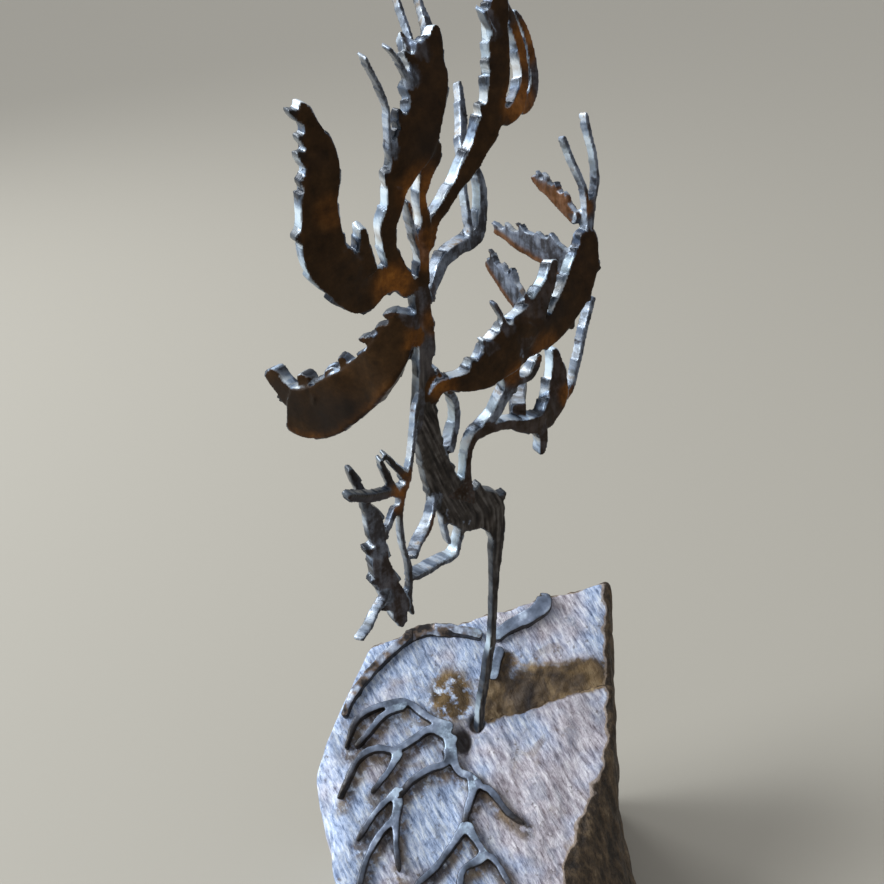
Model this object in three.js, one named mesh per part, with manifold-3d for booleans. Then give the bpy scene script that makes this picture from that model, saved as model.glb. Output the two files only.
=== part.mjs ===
import * as THREE from 'three';
import { mergeVertices } from 'three/addons/utils/BufferGeometryUtils.js';
import Module from 'manifold-3d';

// A small wind-bent tree cut from steel plate, its limbs bent in space, standing on a natural rock.
// Millimetres, +Z up. The origin is the middle of the rock's flat underside.
// +X is the viewer's right and -Y is towards the viewer.

// Driving dimensions. The rock's are to the faces it was cleft from, before it weathered.
const rockWidth = 160;
const rockDepth = 136;
const rockHeight = 158;
const treeHeight = 318;
const plateThickness = 6.4;
const rootThickness = 4.5;
const rootWidth = 5;
const rootTipShare = 0.55;
const socketDepth = 9;
const fitGap = 0.35;
const plateTurn = THREE.MathUtils.degToRad(28);

// How finely the free forms are faceted, and how close two corners are welded into one
const rockDetail = 8;
const curveSteps = 1;
const weldDistance = 0.004;

const wasm = await Module();
wasm.setup();

// A closed solid from a three.js geometry
function solidOf(geometry) {
  const plain = geometry.clone();
  plain.deleteAttribute('normal');
  plain.deleteAttribute('uv');
  const merged = mergeVertices(plain, 1e-5);
  return new wasm.Manifold(new wasm.Mesh({
    numProp: 3,
    vertProperties: new Float32Array(merged.attributes.position.array),
    triVerts: new Uint32Array(merged.index.array),
  }));
}

// The three.js geometry of a closed solid, without the slivers between corners that almost touch
function geometryOf(solid) {
  const mesh = solid.getMesh();
  const geometry = new THREE.BufferGeometry();
  geometry.setAttribute('position', new THREE.BufferAttribute(mesh.vertProperties, 3));
  geometry.setIndex(new THREE.BufferAttribute(mesh.triVerts, 1));
  const welded = mergeVertices(geometry, weldDistance);
  const corners = welded.index.array;
  const kept = [];
  for (let i = 0; i < corners.length; i += 3) {
    const [a, b, c] = corners.slice(i, i + 3);
    if (a !== b && b !== c && c !== a) {
      kept.push(a, b, c);
    }
  }
  welded.setIndex(kept);
  return welded;
}

// All solids joined in pairs, then the pairs in pairs
function joined(solids) {
  let level = solids;
  while (level.length > 1) {
    const next = [];
    for (let i = 0; i < level.length; i += 2) {
      next.push(i + 1 < level.length ? level[i].add(level[i + 1]) : level[i]);
    }
    level = next;
  }
  return level[0];
}

// Rock

const rockCore = new THREE.Vector3(-0.03 * rockWidth, -0.03 * rockDepth, 0.38 * rockHeight);

// Each cleft face: its outward direction, and a point on it as shares of width, depth and height
const mainFace = { out: [0, -0.56, 0.83], at: [-0.025, -0.02, 0.752] };
const rockFaces = [
  { out: [-0.22, 0.95, 0.1], at: [0, 0.31, 0.8] },
  { out: [-0.88, 0.44, 0.1], at: [-0.42, 0.02, 0.7] },
  { out: [-0.93, -0.1, -0.2], at: [-0.475, -0.18, 0.66] },
  { out: [-0.72, -0.4, 0.57], at: [-0.44, -0.1, 0.67] },
  { out: [0.99, -0.1, 0.05], at: [0.37, 0.1, 0.9] },
  { out: [0.72, -0.59, 0.36], at: [0.31, -0.2, 0.65] },
  { out: [0.3, 0.95, 0.05], at: [0.3, 0.5, 0.5] },
  { out: [0.05, -0.95, 0.3], at: [0, -0.57, 0.25] },
  { out: [-0.6, -0.75, 0.05], at: [-0.36, -0.47, 0.3] },
];
const edgeSoftness = 1.6;
const farAway = 4 * rockWidth;
const bulgeHeight = 17;
const bulgeReach = 0.24 * rockWidth;
const creviceDrop = 8;
const creviceLip = 4;
const creviceFoot = { height: -0.022, slope: 0.24 };
const creviceRoof = { height: 0.09, slope: 0.1 };

function smooth(low, high, value) {
  return THREE.MathUtils.smoothstep(value, low, high);
}

function distanceTo(face, direction) {
  const out = new THREE.Vector3(...face.out).normalize();
  const at = new THREE.Vector3(face.at[0] * rockWidth, face.at[1] * rockDepth, face.at[2] * rockHeight);
  const facing = out.dot(direction);
  return facing > 0.02 ? at.sub(rockCore).dot(out) / facing : farAway;
}

// A rusty crevice runs up to the right from the stem, under the upper block
function creviceDepth(point) {
  const aboveFoot = point.y - creviceFoot.height * rockDepth - creviceFoot.slope * point.x;
  const aboveRoof = point.y - creviceRoof.height * rockDepth - creviceRoof.slope * point.x;
  const opened = smooth(0, creviceLip, aboveFoot) * (1 - smooth(0, creviceLip, aboveRoof));
  return creviceDrop * opened * smooth(-0.02 * rockWidth, 0.09 * rockWidth, point.x);
}

// Broad waves that keep the cleft faces from being flat
function weathering(point) {
  const waves = Math.sin(point.x / 11 + point.z / 17) * Math.sin(point.y / 9 - point.z / 13);
  return 1.1 * waves + 0.6 * Math.sin(point.x / 4.3 - point.y / 5.1 + point.z / 6.7);
}

// The lower right of the rock bulges towards the viewer
function bulge(point) {
  const centre = new THREE.Vector3(0.44 * rockWidth, -0.34 * rockDepth, 0.14 * rockHeight);
  const away = point.distanceTo(centre) / bulgeReach;
  return bulgeHeight * Math.exp(-away * away);
}

function rockRadius(direction) {
  let main = distanceTo(mainFace, direction);
  if (main < farAway) {
    const onFace = rockCore.clone().addScaledVector(direction, main);
    main -= creviceDepth(onFace);
  }
  const distances = [main, ...rockFaces.map((face) => distanceTo(face, direction))];
  const nearest = Math.min(...distances);
  const sum = distances.reduce((total, d) => total + Math.exp((nearest - d) / edgeSoftness), 0);
  const radius = nearest - edgeSoftness * Math.log(sum);
  const point = rockCore.clone().addScaledVector(direction, radius);
  const rough = radius + weathering(point) + bulge(point);
  return direction.z < 0 ? Math.min(rough, -rockCore.z / direction.z) : rough;
}

function rockSolid(swell) {
  const ball = new THREE.IcosahedronGeometry(1, rockDetail);
  ball.deleteAttribute('normal');
  ball.deleteAttribute('uv');
  const shape = mergeVertices(ball, 1e-5);
  const position = shape.attributes.position;
  const direction = new THREE.Vector3();
  for (let i = 0; i < position.count; i += 1) {
    direction.fromBufferAttribute(position, i).normalize();
    const radius = rockRadius(direction) + swell;
    const point = rockCore.clone().addScaledVector(direction, radius);
    position.setXYZ(i, point.x, point.y, point.z);
  }
  return solidOf(shape);
}

const rockSkin = new THREE.Mesh(geometryOf(rockSolid(0)));
const plumbLine = new THREE.Raycaster();

// Where a plumb line over a place on the plan meets the rock, and the way the rock faces there.
// A place beyond the rock's edge is drawn in towards its core until it lies on the rock.
function surfaceAt(x, y) {
  let spot;
  for (let inward = 0; !spot; inward += 0.01) {
    const overX = THREE.MathUtils.lerp(x, rockCore.x, inward);
    const overY = THREE.MathUtils.lerp(y, rockCore.y, inward);
    plumbLine.set(new THREE.Vector3(overX, overY, 2 * rockHeight), new THREE.Vector3(0, 0, -1));
    [spot] = plumbLine.intersectObject(rockSkin);
  }
  return { point: spot.point, normal: spot.face.normal.clone() };
}

// Strips of plate

// A smooth run of sections through the listed ones
function smoothRun(rows, steps) {
  const run = [];
  const width = Math.max(...rows.map((row) => row.length));
  const columns = Array.from({ length: width }, (_, k) => k);
  const column = (i, k) => rows[Math.min(Math.max(i, 0), rows.length - 1)][k] ?? 1;
  for (let i = 0; i < rows.length - 1; i += 1) {
    for (let step = 0; step < steps; step += 1) {
      const t = step / steps;
      run.push(columns.map((k) => {
        const [a, b, c, d] = [column(i - 1, k), column(i, k), column(i + 1, k), column(i + 2, k)];
        const bend = 2 * a - 5 * b + 4 * c - d;
        const twist = 3 * b - a - 3 * c + d;
        return 0.5 * (2 * b + (c - a) * t + bend * t * t + twist * t * t * t);
      }));
    }
  }
  run.push(rows[rows.length - 1]);
  return run;
}

// One four-sided block between two sections of a strip, each a ring of four corners
function block(near, far) {
  const geometry = new THREE.BufferGeometry();
  const corners = [...near, ...far].flatMap((corner) => corner.toArray());
  geometry.setAttribute('position', new THREE.Float32BufferAttribute(corners, 3));
  const faces = [0, 2, 1, 0, 3, 2, 4, 5, 6, 4, 6, 7];
  for (let i = 0; i < 4; i += 1) {
    const j = (i + 1) % 4;
    faces.push(i, j, 4 + i, j, 4 + j, 4 + i);
  }
  geometry.setIndex(faces);
  return solidOf(geometry);
}

// The four corners of a strip's section at each of its points
function sections(points, widths, thicknesses, normalAt) {
  return points.map((point, i) => {
    const before = points[Math.max(i - 1, 0)];
    const after = points[Math.min(i + 1, points.length - 1)];
    const along = after.clone().sub(before).normalize();
    const normal = normalAt(i);
    normal.addScaledVector(along, -normal.dot(along)).normalize();
    const across = normal.clone().cross(along);
    return [[-1, -1], [1, -1], [1, 1], [-1, 1]].map(([side, face]) => point.clone()
      .addScaledVector(across, side * widths[i] / 2)
      .addScaledVector(normal, face * thicknesses[i] / 2));
  });
}

function strip(points, widths, thicknesses, normalAt) {
  const rings = sections(points, widths, thicknesses, normalAt);
  const blocks = [];
  for (let i = 0; i < rings.length - 1; i += 1) {
    blocks.push(block(rings[i], rings[i + 1]));
  }
  return blocks;
}

// Tree

// The plate has its own frame: +X along it, -Y out of its face, +Z up from the stem's foot.
// A limb is drawn in it as rows of [along the plate, height over the rock, bent forward, width,
// share of the plate's thickness], on a tree of the drawn height.
const drawnHeight = 318;
const grow = treeHeight / drawnHeight;
const footX = -0.025 * rockWidth;
const footY = -0.022 * rockDepth;
const plateFacing = new THREE.Vector3(0, -1, 0);
const plateFrame = new THREE.Object3D();
plateFrame.position.copy(surfaceAt(footX, footY).point);
plateFrame.rotation.z = plateTurn;
plateFrame.updateMatrix();

const limbs = {
  trunk: [
    [-20, 213, 0, 7], [-20, 202, 0, 7], [-19, 191, 0, 8], [-20, 182, 0, 6], [-20, 171, 0, 7.5],
    [-20, 158, 0, 10], [-18, 146, 0, 11], [-15, 134, 0, 13], [-9, 121, 0, 16], [-1, 114, 0, 18.5],
    [6, 112, 0, 16.5], [10, 104, 0, 10], [11.5, 97, 0, 6.5, 0.85], [11, 87, 0, 5, 0.75],
    [10, 67, 0, 3.2, 0.65], [9, 46, 0, 3.2, 0.65], [7, 34, 0, 3.5, 0.7], [5, 21, 0, 3.5, 0.7],
    [3, 9, 0, 3.5, 0.7], [2, -socketDepth / grow, 0, 3.5, 0.7],
  ],
  trunkTop: [
    [-20, 213, 0, 6], [-19, 223, 0, 4.5], [-19, 229, 0, 6], [-18, 237, 0, 4.5], [-19, 245, 0, 3.5],
    [-18, 253, 1, 5], [-17, 260, 3, 8.5], [-17, 266, 4, 9.5],
  ],
  crown: [
    [-25, 212, 0, 7.5], [-29, 220, 1, 7.5], [-33, 230, 2, 6], [-34, 238, 3, 7], [-32, 245, 4, 7],
    [-30, 252, 4, 8.5], [-28, 258, 5, 11.5], [-24, 265, 5, 16], [-19, 274, 4, 14.5], [-16, 283, 2, 15],
    [-15, 291, 0, 13.5], [-12, 297, -1, 7], [-11, 302, -2, 2.5],
  ],
  crownFingerLeft: [
    [-23, 286, 3, 2], [-28, 294, 5, 1.5], [-33, 299, 8, 1.5],
  ],
  crownFingerBack: [
    [-19, 288, 0, 3.5], [-20, 294, -3, 3], [-21, 299, -7, 2],
  ],
  crownFingerMiddle: [
    [-16, 289, 0, 3.5], [-18, 295, 0, 3], [-19, 298, 0, 1.5],
  ],
  crownBack1: [
    [-14, 288, -3, 1.5], [-15, 294, -9, 1.5], [-15, 301, -14, 1.5], [-16, 309, -18, 1.5],
    [-17, 315, -20, 1.5],
  ],
  crownBack2: [
    [-10, 294, -3, 3.5], [-9, 299, -9, 3.5], [-9, 306, -14, 2], [-10, 313, -16, 1.5],
  ],
  slenderFinger: [
    [-28, 253, 4, 3.5], [-32, 262, 5, 2], [-33, 269, 6, 1.5], [-33, 278, 6, 1.5], [-35, 284, 7, 1.5],
    [-39, 291, 9, 1.5], [-43, 298, 11, 1.5],
  ],
  strand: [
    [-26, 247, 3, 1.5], [-24, 238, 2, 1.5], [-22, 230, 1, 1.5], [-18, 223, 0, 1.5],
  ],
  crest: [
    [-18, 227, 0, 6], [-14, 236, -1, 4.5], [-9, 241, -2, 5], [-4, 246, -3, 5], [1, 251, -4, 7],
    [6, 258, -4, 8.5], [10, 265, -4, 10.5], [13, 273, -4, 8.5], [15, 281, -5, 9], [16, 289, -6, 9],
    [16, 297, -7, 8.5], [17, 305, -8, 8], [18, 311, -9, 4.5], [18, 317, -10, 2],
  ],
  crestLeftFinger: [
    [14, 296, -6, 2], [11, 301, -5, 1.5], [9, 305, -4, 1.5],
  ],
  crestRight: [
    [15, 267, -4, 7], [21, 269, -5, 6.5], [25, 273, -7, 5], [28, 279, -9, 4], [28, 288, -11, 4],
    [25, 298, -12, 3.5], [22, 306, -13, 2.5], [20, 312, -14, 1.5],
  ],
  crestFarRight: [
    [24, 269, -6, 5.5], [30, 271, -9, 5], [34, 277, -12, 4], [34, 285, -14, 3.5], [33, 293, -16, 3],
    [29, 301, -17, 2],
  ],
  smallPad: [
    [4, 251, -8, 2], [7, 257, -16, 3.5], [10, 267, -21, 3], [11, 277, -25, 2],
  ],
  fork: [
    [-20, 200, -1, 4], [-16, 208, -2, 3.5], [-12, 213, -4, 4.5], [-8, 218, -6, 5], [-2, 221, -8, 5.5],
    [5, 222, -10, 5.5], [10, 224, -11, 5], [12, 231, -12, 4], [13, 240, -13, 3.5], [12, 246, -14, 3],
    [10, 249, -15, 2.5],
  ],
  forkLeft: [
    [6, 225, -9, 2], [6, 233, -11, 2], [6, 240, -13, 2], [6, 246, -14, 2],
  ],
  leftHigh: [
    [-23, 213, 0, 7], [-30, 218, 0, 8], [-37, 218.5, 1, 12], [-45, 219, 3, 19.5], [-53, 225, 6, 16],
    [-59, 233, 8, 17], [-61, 243, 9, 15.5], [-61, 253, 9, 14], [-59, 263, 9, 13], [-59, 270, 8, 11],
    [-61, 277, 8, 6.5], [-63, 283, 8, 4], [-65, 286, 8, 2],
  ],
  leftHighProng: [
    [-43, 224, 4, 9.5], [-46, 233, 6, 6], [-48, 239, 8, 4], [-50, 243, 9, 3],
  ],
  leftLow: [
    [-24, 204, 0, 8], [-28, 194, -3, 13.5], [-33, 182, -8, 17], [-37, 172, -16, 19.5],
    [-43, 164, -24, 21.5], [-48, 157, -32, 22.5], [-53, 154.5, -40, 22], [-56, 154.5, -45, 19],
  ],
  leftLowFingerEnd: [
    [-54, 159, -43, 11], [-57, 164, -50, 8.5], [-59, 169, -54, 7.5],
  ],
  leftLowFingerA: [
    [-49, 160, -33, 9], [-50, 166, -38, 7.5], [-51, 171, -40, 5.5],
  ],
  leftLowFingerB: [
    [-41, 169, -23, 10], [-43, 173, -27, 7.5], [-45, 176, -29, 6],
  ],
  leftLowFingerC: [
    [-38, 175, -18, 6], [-40, 179, -22, 4.5], [-42, 182, -24, 3],
  ],
  rightHigh: [
    [-18, 167, 0, 5.5], [-15, 173, 2, 6], [-11, 174, 3, 6], [-4, 173, 3, 9], [5, 175, 2, 15],
    [13, 179, 1, 20], [20, 182, 0, 18.5], [29, 181, -2, 13], [38, 182, -4, 12], [46, 188, -6, 14.5],
    [52, 194, -8, 15.5], [57, 202, -10, 14.5], [60, 210, -12, 10], [60, 216, -13, 6.5],
  ],
  rightHighProng: [
    [20, 185, 0, 17.5], [29, 190, -3, 12], [36, 197, -6, 7.5], [40, 202, -8, 5.5], [43, 208, -10, 4],
  ],
  tipRight: [
    [62, 214, -13, 3], [64, 226, -14, 2], [66, 235, -15, 2], [65, 245, -16, 2], [64, 252, -18, 2],
    [63, 260, -20, 2],
  ],
  tipLeft: [
    [61, 216, -13, 2], [61, 230, -15, 2], [58, 239, -17, 2], [56, 245, -19, 2], [54, 252, -21, 2],
  ],
  fanTop: [
    [59, 219, -15, 5], [58, 223, -22, 6.5], [57, 227, -30, 6.5], [56, 229, -37, 4.5], [55, 231, -42, 2],
  ],
  fanMid: [
    [54, 200, -10, 14], [51, 204.5, -19, 13.5], [49, 206, -29, 11], [46, 207, -39, 8],
    [44, 208, -47, 4.5], [42, 208, -51, 2],
  ],
  fanLow: [
    [27, 193, -3, 9], [26, 199, -12, 10.5], [25, 203, -19, 8], [24, 206, -26, 4],
  ],
  inner: [
    [17, 178, 0, 10], [18, 171, -1, 8.5], [18, 163, -2, 6.5], [15, 157, -3, 5], [12, 151, -4, 4.5],
    [8, 148, -4, 4.5], [4, 144, -4, 4.5],
  ],
  bar: [
    [18, 167, -1, 4.5], [24, 165, -2, 3.5], [29, 166, -3, 3.5], [33, 173, -4, 3],
  ],
  rightLow: [
    [-6, 121, 0, 13.5], [-3, 127, 0, 5], [-2, 135, -1, 3], [0, 142, -2, 3.5], [4, 146, -3, 4.5],
    [11, 146, -4, 4.5], [19, 145, -6, 4.5], [28, 141, -8, 6.5], [38, 138, -11, 9], [45, 140, -14, 11],
    [50, 144, -17, 12], [52, 152, -19, 9.5], [52, 158, -20, 6], [51, 165, -21, 3.5],
  ],
  hangProng: [
    [39, 136, -11, 6.5], [40, 129, -11, 4], [39, 123, -11, 3],
  ],
  rod: [
    [54, 143, -18, 6], [60, 145, -20, 2.5], [65, 157, -22, 2.5], [69, 169, -24, 2.5],
    [74, 181, -26, 2.5],
  ],
  triPad: [
    [28, 144, -9, 11.5], [32, 146, -17, 11], [39, 149, -26, 6],
  ],
  loop: [
    [-11, 142, 0, 3.5], [-6, 147, -5, 3.5], [-3, 153, -7, 3], [-5, 162, -5, 3], [-11, 171, 0, 3],
  ],
  hangStem: [
    [-21, 173, 0, 2], [-24, 167, 1, 2], [-27, 158, 4, 2], [-30, 149, 7, 2], [-33, 142, 9, 2.5],
    [-37, 137, 12, 3], [-39, 130, 14, 2], [-39, 119, 15, 2], [-37, 109, 15, 2], [-37, 101, 16, 2],
    [-38, 93, 16, 2.5], [-37, 86, 17, 2],
  ],
  hangRod: [
    [-35, 138, 9, 4], [-44, 142, 15, 4], [-56, 149, 25, 4], [-65, 156, 33, 3.5], [-70, 160.5, 38, 2.5],
  ],
  hangFingerA: [
    [-39, 138, 12, 3.5], [-44, 149, 15, 3], [-48, 159, 18, 2],
  ],
  hangFingerB: [
    [-32, 141, 8, 4], [-38, 149, 11, 3], [-45, 159, 15, 1.5],
  ],
  hangFingerC: [
    [-61, 160, 20, 2.5], [-58, 152, 20, 3.5], [-55, 143, 19, 3.5], [-52, 135, 18, 7],
    [-50, 124, 17, 7],
  ],
  hangCross: [
    [-40, 134, 13, 2.5], [-45, 128, 16, 2], [-51, 120, 18, 2],
  ],
  lowerPad: [
    [-50, 124, 17, 6.5], [-50, 115, 17, 8], [-47, 103, 17, 9.5], [-43, 93, 17, 8.5],
    [-44, 86, 17, 4.5],
  ],
  hangTail: [
    [-48, 100, 18, 2.5], [-56, 98, 24, 2], [-62, 97, 30, 2], [-68, 97, 35, 2],
  ],
  linkHigh: [
    [-17, 127, 0, 3.5], [-20, 121, 3, 2], [-24, 116, 6, 2.5], [-30, 113, 10, 2], [-35, 109, 14, 2],
  ],
  linkSpur: [
    [-14, 118, 0, 2.5], [-13, 109, 0, 2], [-11, 101, 0, 2],
  ],
  linkLow: [
    [-4, 110, 0, 3], [-6, 102, -1, 2.5], [-10, 96, 1, 2.5], [-20, 98, 6, 2.5], [-29, 100, 11, 3],
    [-36, 102, 15, 2.5],
  ],
  neckPeg: [
    [-12, 171, 1, 2], [-14, 176, 1, 2], [-16, 181, 1, 2],
  ],
  spikeHigh: [
    [16, 189, 1, 2], [13, 195, 1, 2], [10, 201, 1, 2],
  ],
  spikeLow: [
    [7, 183, 2, 2], [4, 188, 2, 2],
  ],
};

// Rows of small teeth left by the torch along a limb's edge: side 1 is the left of its way,
// from and to are shares of its length, and lean turns the teeth along it.
const torchTeeth = [
  { limb: 'leftHigh', side: 1, from: 0.7, to: 0.88, count: 3, reach: 4, width: 4.5, lean: 0.9 },
  { limb: 'leftHigh', side: 1, from: 0.5, to: 0.64, count: 2, reach: 1.8, width: 8, lean: 0 },
  { limb: 'crown', side: 1, from: 0.42, to: 0.82, count: 5, reach: 4, width: 4.5, lean: 0.8 },
  { limb: 'crest', side: 1, from: 0.5, to: 0.8, count: 3, reach: 2, width: 4, lean: 0.8 },
  { limb: 'leftLow', side: -1, from: 0.03, to: 0.2, count: 3, reach: 4.5, width: 5, lean: 0.5 },
  { limb: 'rightHigh', side: 1, from: 0.26, to: 0.42, count: 3, reach: 2, width: 5, lean: 0.3 },
  { limb: 'rightHigh', side: -1, from: 0.5, to: 0.86, count: 5, reach: 2, width: 6, lean: -0.2 },
  { limb: 'fanTop', side: -1, from: 0.25, to: 0.8, count: 4, reach: 4, width: 2.2, lean: 1 },
  { limb: 'fanMid', side: -1, from: 0.2, to: 0.85, count: 5, reach: 4.4, width: 2.6, lean: 1 },
  { limb: 'fanLow', side: -1, from: 0.3, to: 0.8, count: 3, reach: 4.4, width: 2.6, lean: 1 },
  { limb: 'trunk', side: 1, from: 0.06, to: 0.18, count: 2, reach: 2.2, width: 6, lean: 0.9 },
  { limb: 'trunk', side: 1, from: 0.24, to: 0.36, count: 3, reach: 1.4, width: 4, lean: 0.6 },
  { limb: 'trunk', side: -1, from: 0.28, to: 0.38, count: 3, reach: 1.2, width: 5, lean: 0.4 },
  { limb: 'trunk', side: 1, from: 0.46, to: 0.53, count: 3, reach: 2.6, width: 3.5, lean: -0.3 },
  { limb: 'trunk', side: -1, from: 0.43, to: 0.53, count: 3, reach: 1.2, width: 4.5, lean: 0.4 },
  { limb: 'lowerPad', side: -1, from: 0.1, to: 0.7, count: 3, reach: 3.4, width: 4, lean: -0.5 },
  { limb: 'lowerPad', side: 1, from: 0.9, to: 1, count: 2, reach: 3, width: 4, lean: 1 },
];
const toothRhythm = [1, 0.7, 1.2, 0.85];
const toothTipShare = 0.35;
const toothThickness = 0.98;

// Limbs that are bent sideways round an upright line
const turnedLimbs = [
  'leftLow', 'leftLowFingerEnd', 'leftLowFingerA', 'leftLowFingerB', 'leftLowFingerC',
  'fanTop', 'fanMid', 'fanLow', 'triPad',
];

// Limbs that the torch and hammer drew out thinner than the plate, as shares of its thickness
const thinnedLimbs = {
  fanTop: 0.5, fanMid: 0.5, fanLow: 0.5, hangRod: 0.6, hangFingerA: 0.6, hangFingerB: 0.6,
  hangFingerC: 0.7, hangCross: 0.6, hangTail: 0.65, hangStem: 0.7, crownFingerLeft: 0.7,
  slenderFinger: 0.75, crownBack1: 0.75, crownBack2: 0.75, tipLeft: 0.75, tipRight: 0.75,
  smallPad: 0.75, forkLeft: 0.8, spikeHigh: 0.65, spikeLow: 0.65, linkSpur: 0.75, rod: 0.85,
};

function onPlate([along, height, forward]) {
  return new THREE.Vector3(along, -forward, height).multiplyScalar(grow);
}

// The way a limb's face looks at each point: straight out of the plate, or, on a limb that is bent
// round an upright line, level and square to the limb
function limbNormals(points, turned) {
  return points.map((_, i) => {
    if (!turned) {
      return plateFacing;
    }
    const before = points[Math.max(i - 1, 0)];
    const after = points[Math.min(i + 1, points.length - 1)];
    const level = new THREE.Vector3(after.y - before.y, before.x - after.x, 0).normalize();
    return level.dot(plateFacing) < 0 ? level.negate() : level;
  });
}

function limbRun(name) {
  const run = smoothRun(limbs[name], curveSteps);
  const points = run.map(onPlate);
  return {
    points,
    widths: run.map((row) => row[3] * grow),
    thicknesses: run.map((row) => (row[4] ?? 1) * (thinnedLimbs[name] ?? 1) * plateThickness),
    normals: limbNormals(points, turnedLimbs.includes(name)),
  };
}

// A tooth stands on the edge of its limb and lies in its face
function toothBlocks(row, index) {
  const { points, widths, normals } = limbRun(row.limb);
  const share = row.count > 1 ? index / (row.count - 1) : 0;
  const place = (row.from + (row.to - row.from) * share) * (points.length - 1);
  const i = Math.min(Math.floor(place), points.length - 2);
  const along = points[i + 1].clone().sub(points[i]).normalize();
  const normal = normals[i].clone().lerp(normals[i + 1], place - i);
  normal.addScaledVector(along, -normal.dot(along)).normalize();
  const outward = normal.clone().cross(along).multiplyScalar(row.side);
  const width = row.width * grow;
  const reach = row.reach * grow * toothRhythm[index % toothRhythm.length];
  const halfLimb = THREE.MathUtils.lerp(widths[i], widths[i + 1], place - i) / 2;
  const root = points[i].clone().lerp(points[i + 1], place - i).addScaledVector(outward, halfLimb - width / 2);
  const tip = root.clone()
    .addScaledVector(outward, Math.cos(row.lean) * (reach + width / 2))
    .addScaledVector(along, Math.sin(row.lean) * (reach + width / 2));
  const thickness = toothThickness * (thinnedLimbs[row.limb] ?? 1) * plateThickness;
  return strip([root, tip], [width, width * toothTipShare], [thickness, thickness], () => normal.clone());
}

function treeSolid() {
  const blocks = Object.keys(limbs).flatMap((name) => {
    const { points, widths, thicknesses, normals } = limbRun(name);
    return strip(points, widths, thicknesses, (i) => normals[i].clone());
  });
  for (const row of torchTeeth) {
    for (let index = 0; index < row.count; index += 1) {
      blocks.push(...toothBlocks(row, index));
    }
  }
  return joined(blocks);
}

// The hole in the rock that the stem stands in
function socketSolid() {
  const foot = limbs.trunk[limbs.trunk.length - 1];
  const width = foot[3] * grow + 2 * fitGap;
  const thickness = foot[4] * plateThickness + 2 * fitGap;
  const mouth = onPlate(limbs.trunk[limbs.trunk.length - 2]);
  const floor = onPlate(foot);
  floor.addScaledVector(floor.clone().sub(mouth).normalize(), fitGap);
  const [hole] = strip([mouth, floor], [width, width], [thickness, thickness], () => plateFacing.clone());
  return solidOf(geometryOf(hole).applyMatrix4(plateFrame.matrix));
}

// Roots

// Each root branch is a way over the plan of the drawn rock, from its thick end to its tip.
// The spray is one plate, and the two ridge roots lie along the rock's upper edge.
const drawnRockWidth = 160;
const drawnRockDepth = 136;
const frontRoots = {
  a: [[-15, -6], [-18, -4], [-25, 0], [-33, 5], [-40, 5], [-50, 3], [-57, -1], [-61, -11]],
  aInner: [[-35, 5], [-45, 0], [-52, -7], [-57, -11]],
  b: [[-15, -7], [-24, -5], [-31, -8], [-40, -12], [-47, -12], [-53, -14], [-57, -18], [-63, -29]],
  bInner: [[-38, -12], [-42, -19], [-50, -28]],
  c: [[-15, -7], [-16, -13], [-18, -17], [-26, -20], [-34, -25], [-38, -30]],
  c1: [[-37, -27], [-44, -31], [-50, -36.5], [-56, -44]],
  c2: [[-38, -29], [-40, -37], [-46, -42], [-52, -50], [-55, -59], [-57, -66]],
  c3: [[-38, -30], [-39, -40], [-39, -47], [-38, -55]],
  d: [[-16, -11], [-12, -19], [-6, -22], [-2, -26], [2, -28], [9, -35], [16, -40]],
  e: [[-4, -23], [-6, -29], [-9, -36], [-9, -39]],
  e1: [[-9, -39], [-15, -46], [-22, -53], [-30, -58], [-37, -65]],
  e2: [[-9, -39], [-6, -44], [-2, -49], [2, -51], [7, -58], [10, -65]],
  e3: [[-2, -48], [-4, -51], [-11, -55], [-13, -61], [-15, -68]],
};
const ridgeRootLeft = [[1, 31], [-10, 33], [-22, 33], [-32, 30], [-42, 24], [-51, 17], [-58, 9], [-62, 1]];
const ridgeRootRight = [[6, 30], [14, 34], [23, 37], [29, 41], [32, 46]];
const ridgePeg = [[5, 16], [7, 22], [8, 27], [9, 31]];
const rightRootWidths = [1.6 * rootWidth, 2 * rootWidth];
const rootSink = 1.6;
const slopeReach = 4;

// The way the rock faces round a place, evened out over the reach of a root
function surfaceNormal(x, y) {
  const normal = new THREE.Vector3();
  for (const [stepX, stepY] of [[0, 0], [1, 0], [-1, 0], [0, 1], [0, -1]]) {
    normal.add(surfaceAt(x + stepX * slopeReach, y + stepY * slopeReach).normal);
  }
  return normal.normalize();
}

function rootBlocks(way, startWidth, endWidth) {
  const placed = way.map(([x, y]) => [x * rockWidth / drawnRockWidth, y * rockDepth / drawnRockDepth]);
  const run = smoothRun(placed, curveSteps);
  const normals = run.map(([x, y]) => surfaceNormal(x, y));
  const points = run.map(([x, y], i) => surfaceAt(x, y).point
    .addScaledVector(normals[i], (rootThickness - rootSink) / 2));
  const widths = run.map((_, i) => startWidth + (endWidth - startWidth) * i / (run.length - 1));
  return strip(points, widths, run.map(() => rootThickness + rootSink), (i) => normals[i].clone());
}

const rockMaterial = new THREE.MeshStandardMaterial({ color: '#a7a8ad', roughness: 0.9, metalness: 0 });
const steelMaterial = new THREE.MeshStandardMaterial({ color: '#3a2f28', roughness: 0.42, metalness: 0.85 });

const group = new THREE.Group();

function addPiece(name, solid, material) {
  const mesh = new THREE.Mesh(geometryOf(solid), material);
  mesh.name = name;
  group.add(mesh);
  return mesh;
}

const bareRock = rockSolid(fitGap);

function rootPiece(blocks) {
  return joined(blocks).subtract(bareRock);
}

const sprayBlocks = Object.values(frontRoots)
  .flatMap((way) => rootBlocks(way, rootWidth, rootWidth * rootTipShare));
const leftRootBlocks = rootBlocks(ridgeRootLeft, rootWidth, rootWidth);
const rightRootBlocks = [
  ...rootBlocks(ridgeRootRight, ...rightRootWidths),
  ...rootBlocks(ridgePeg, rootWidth, rootWidth),
];

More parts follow.
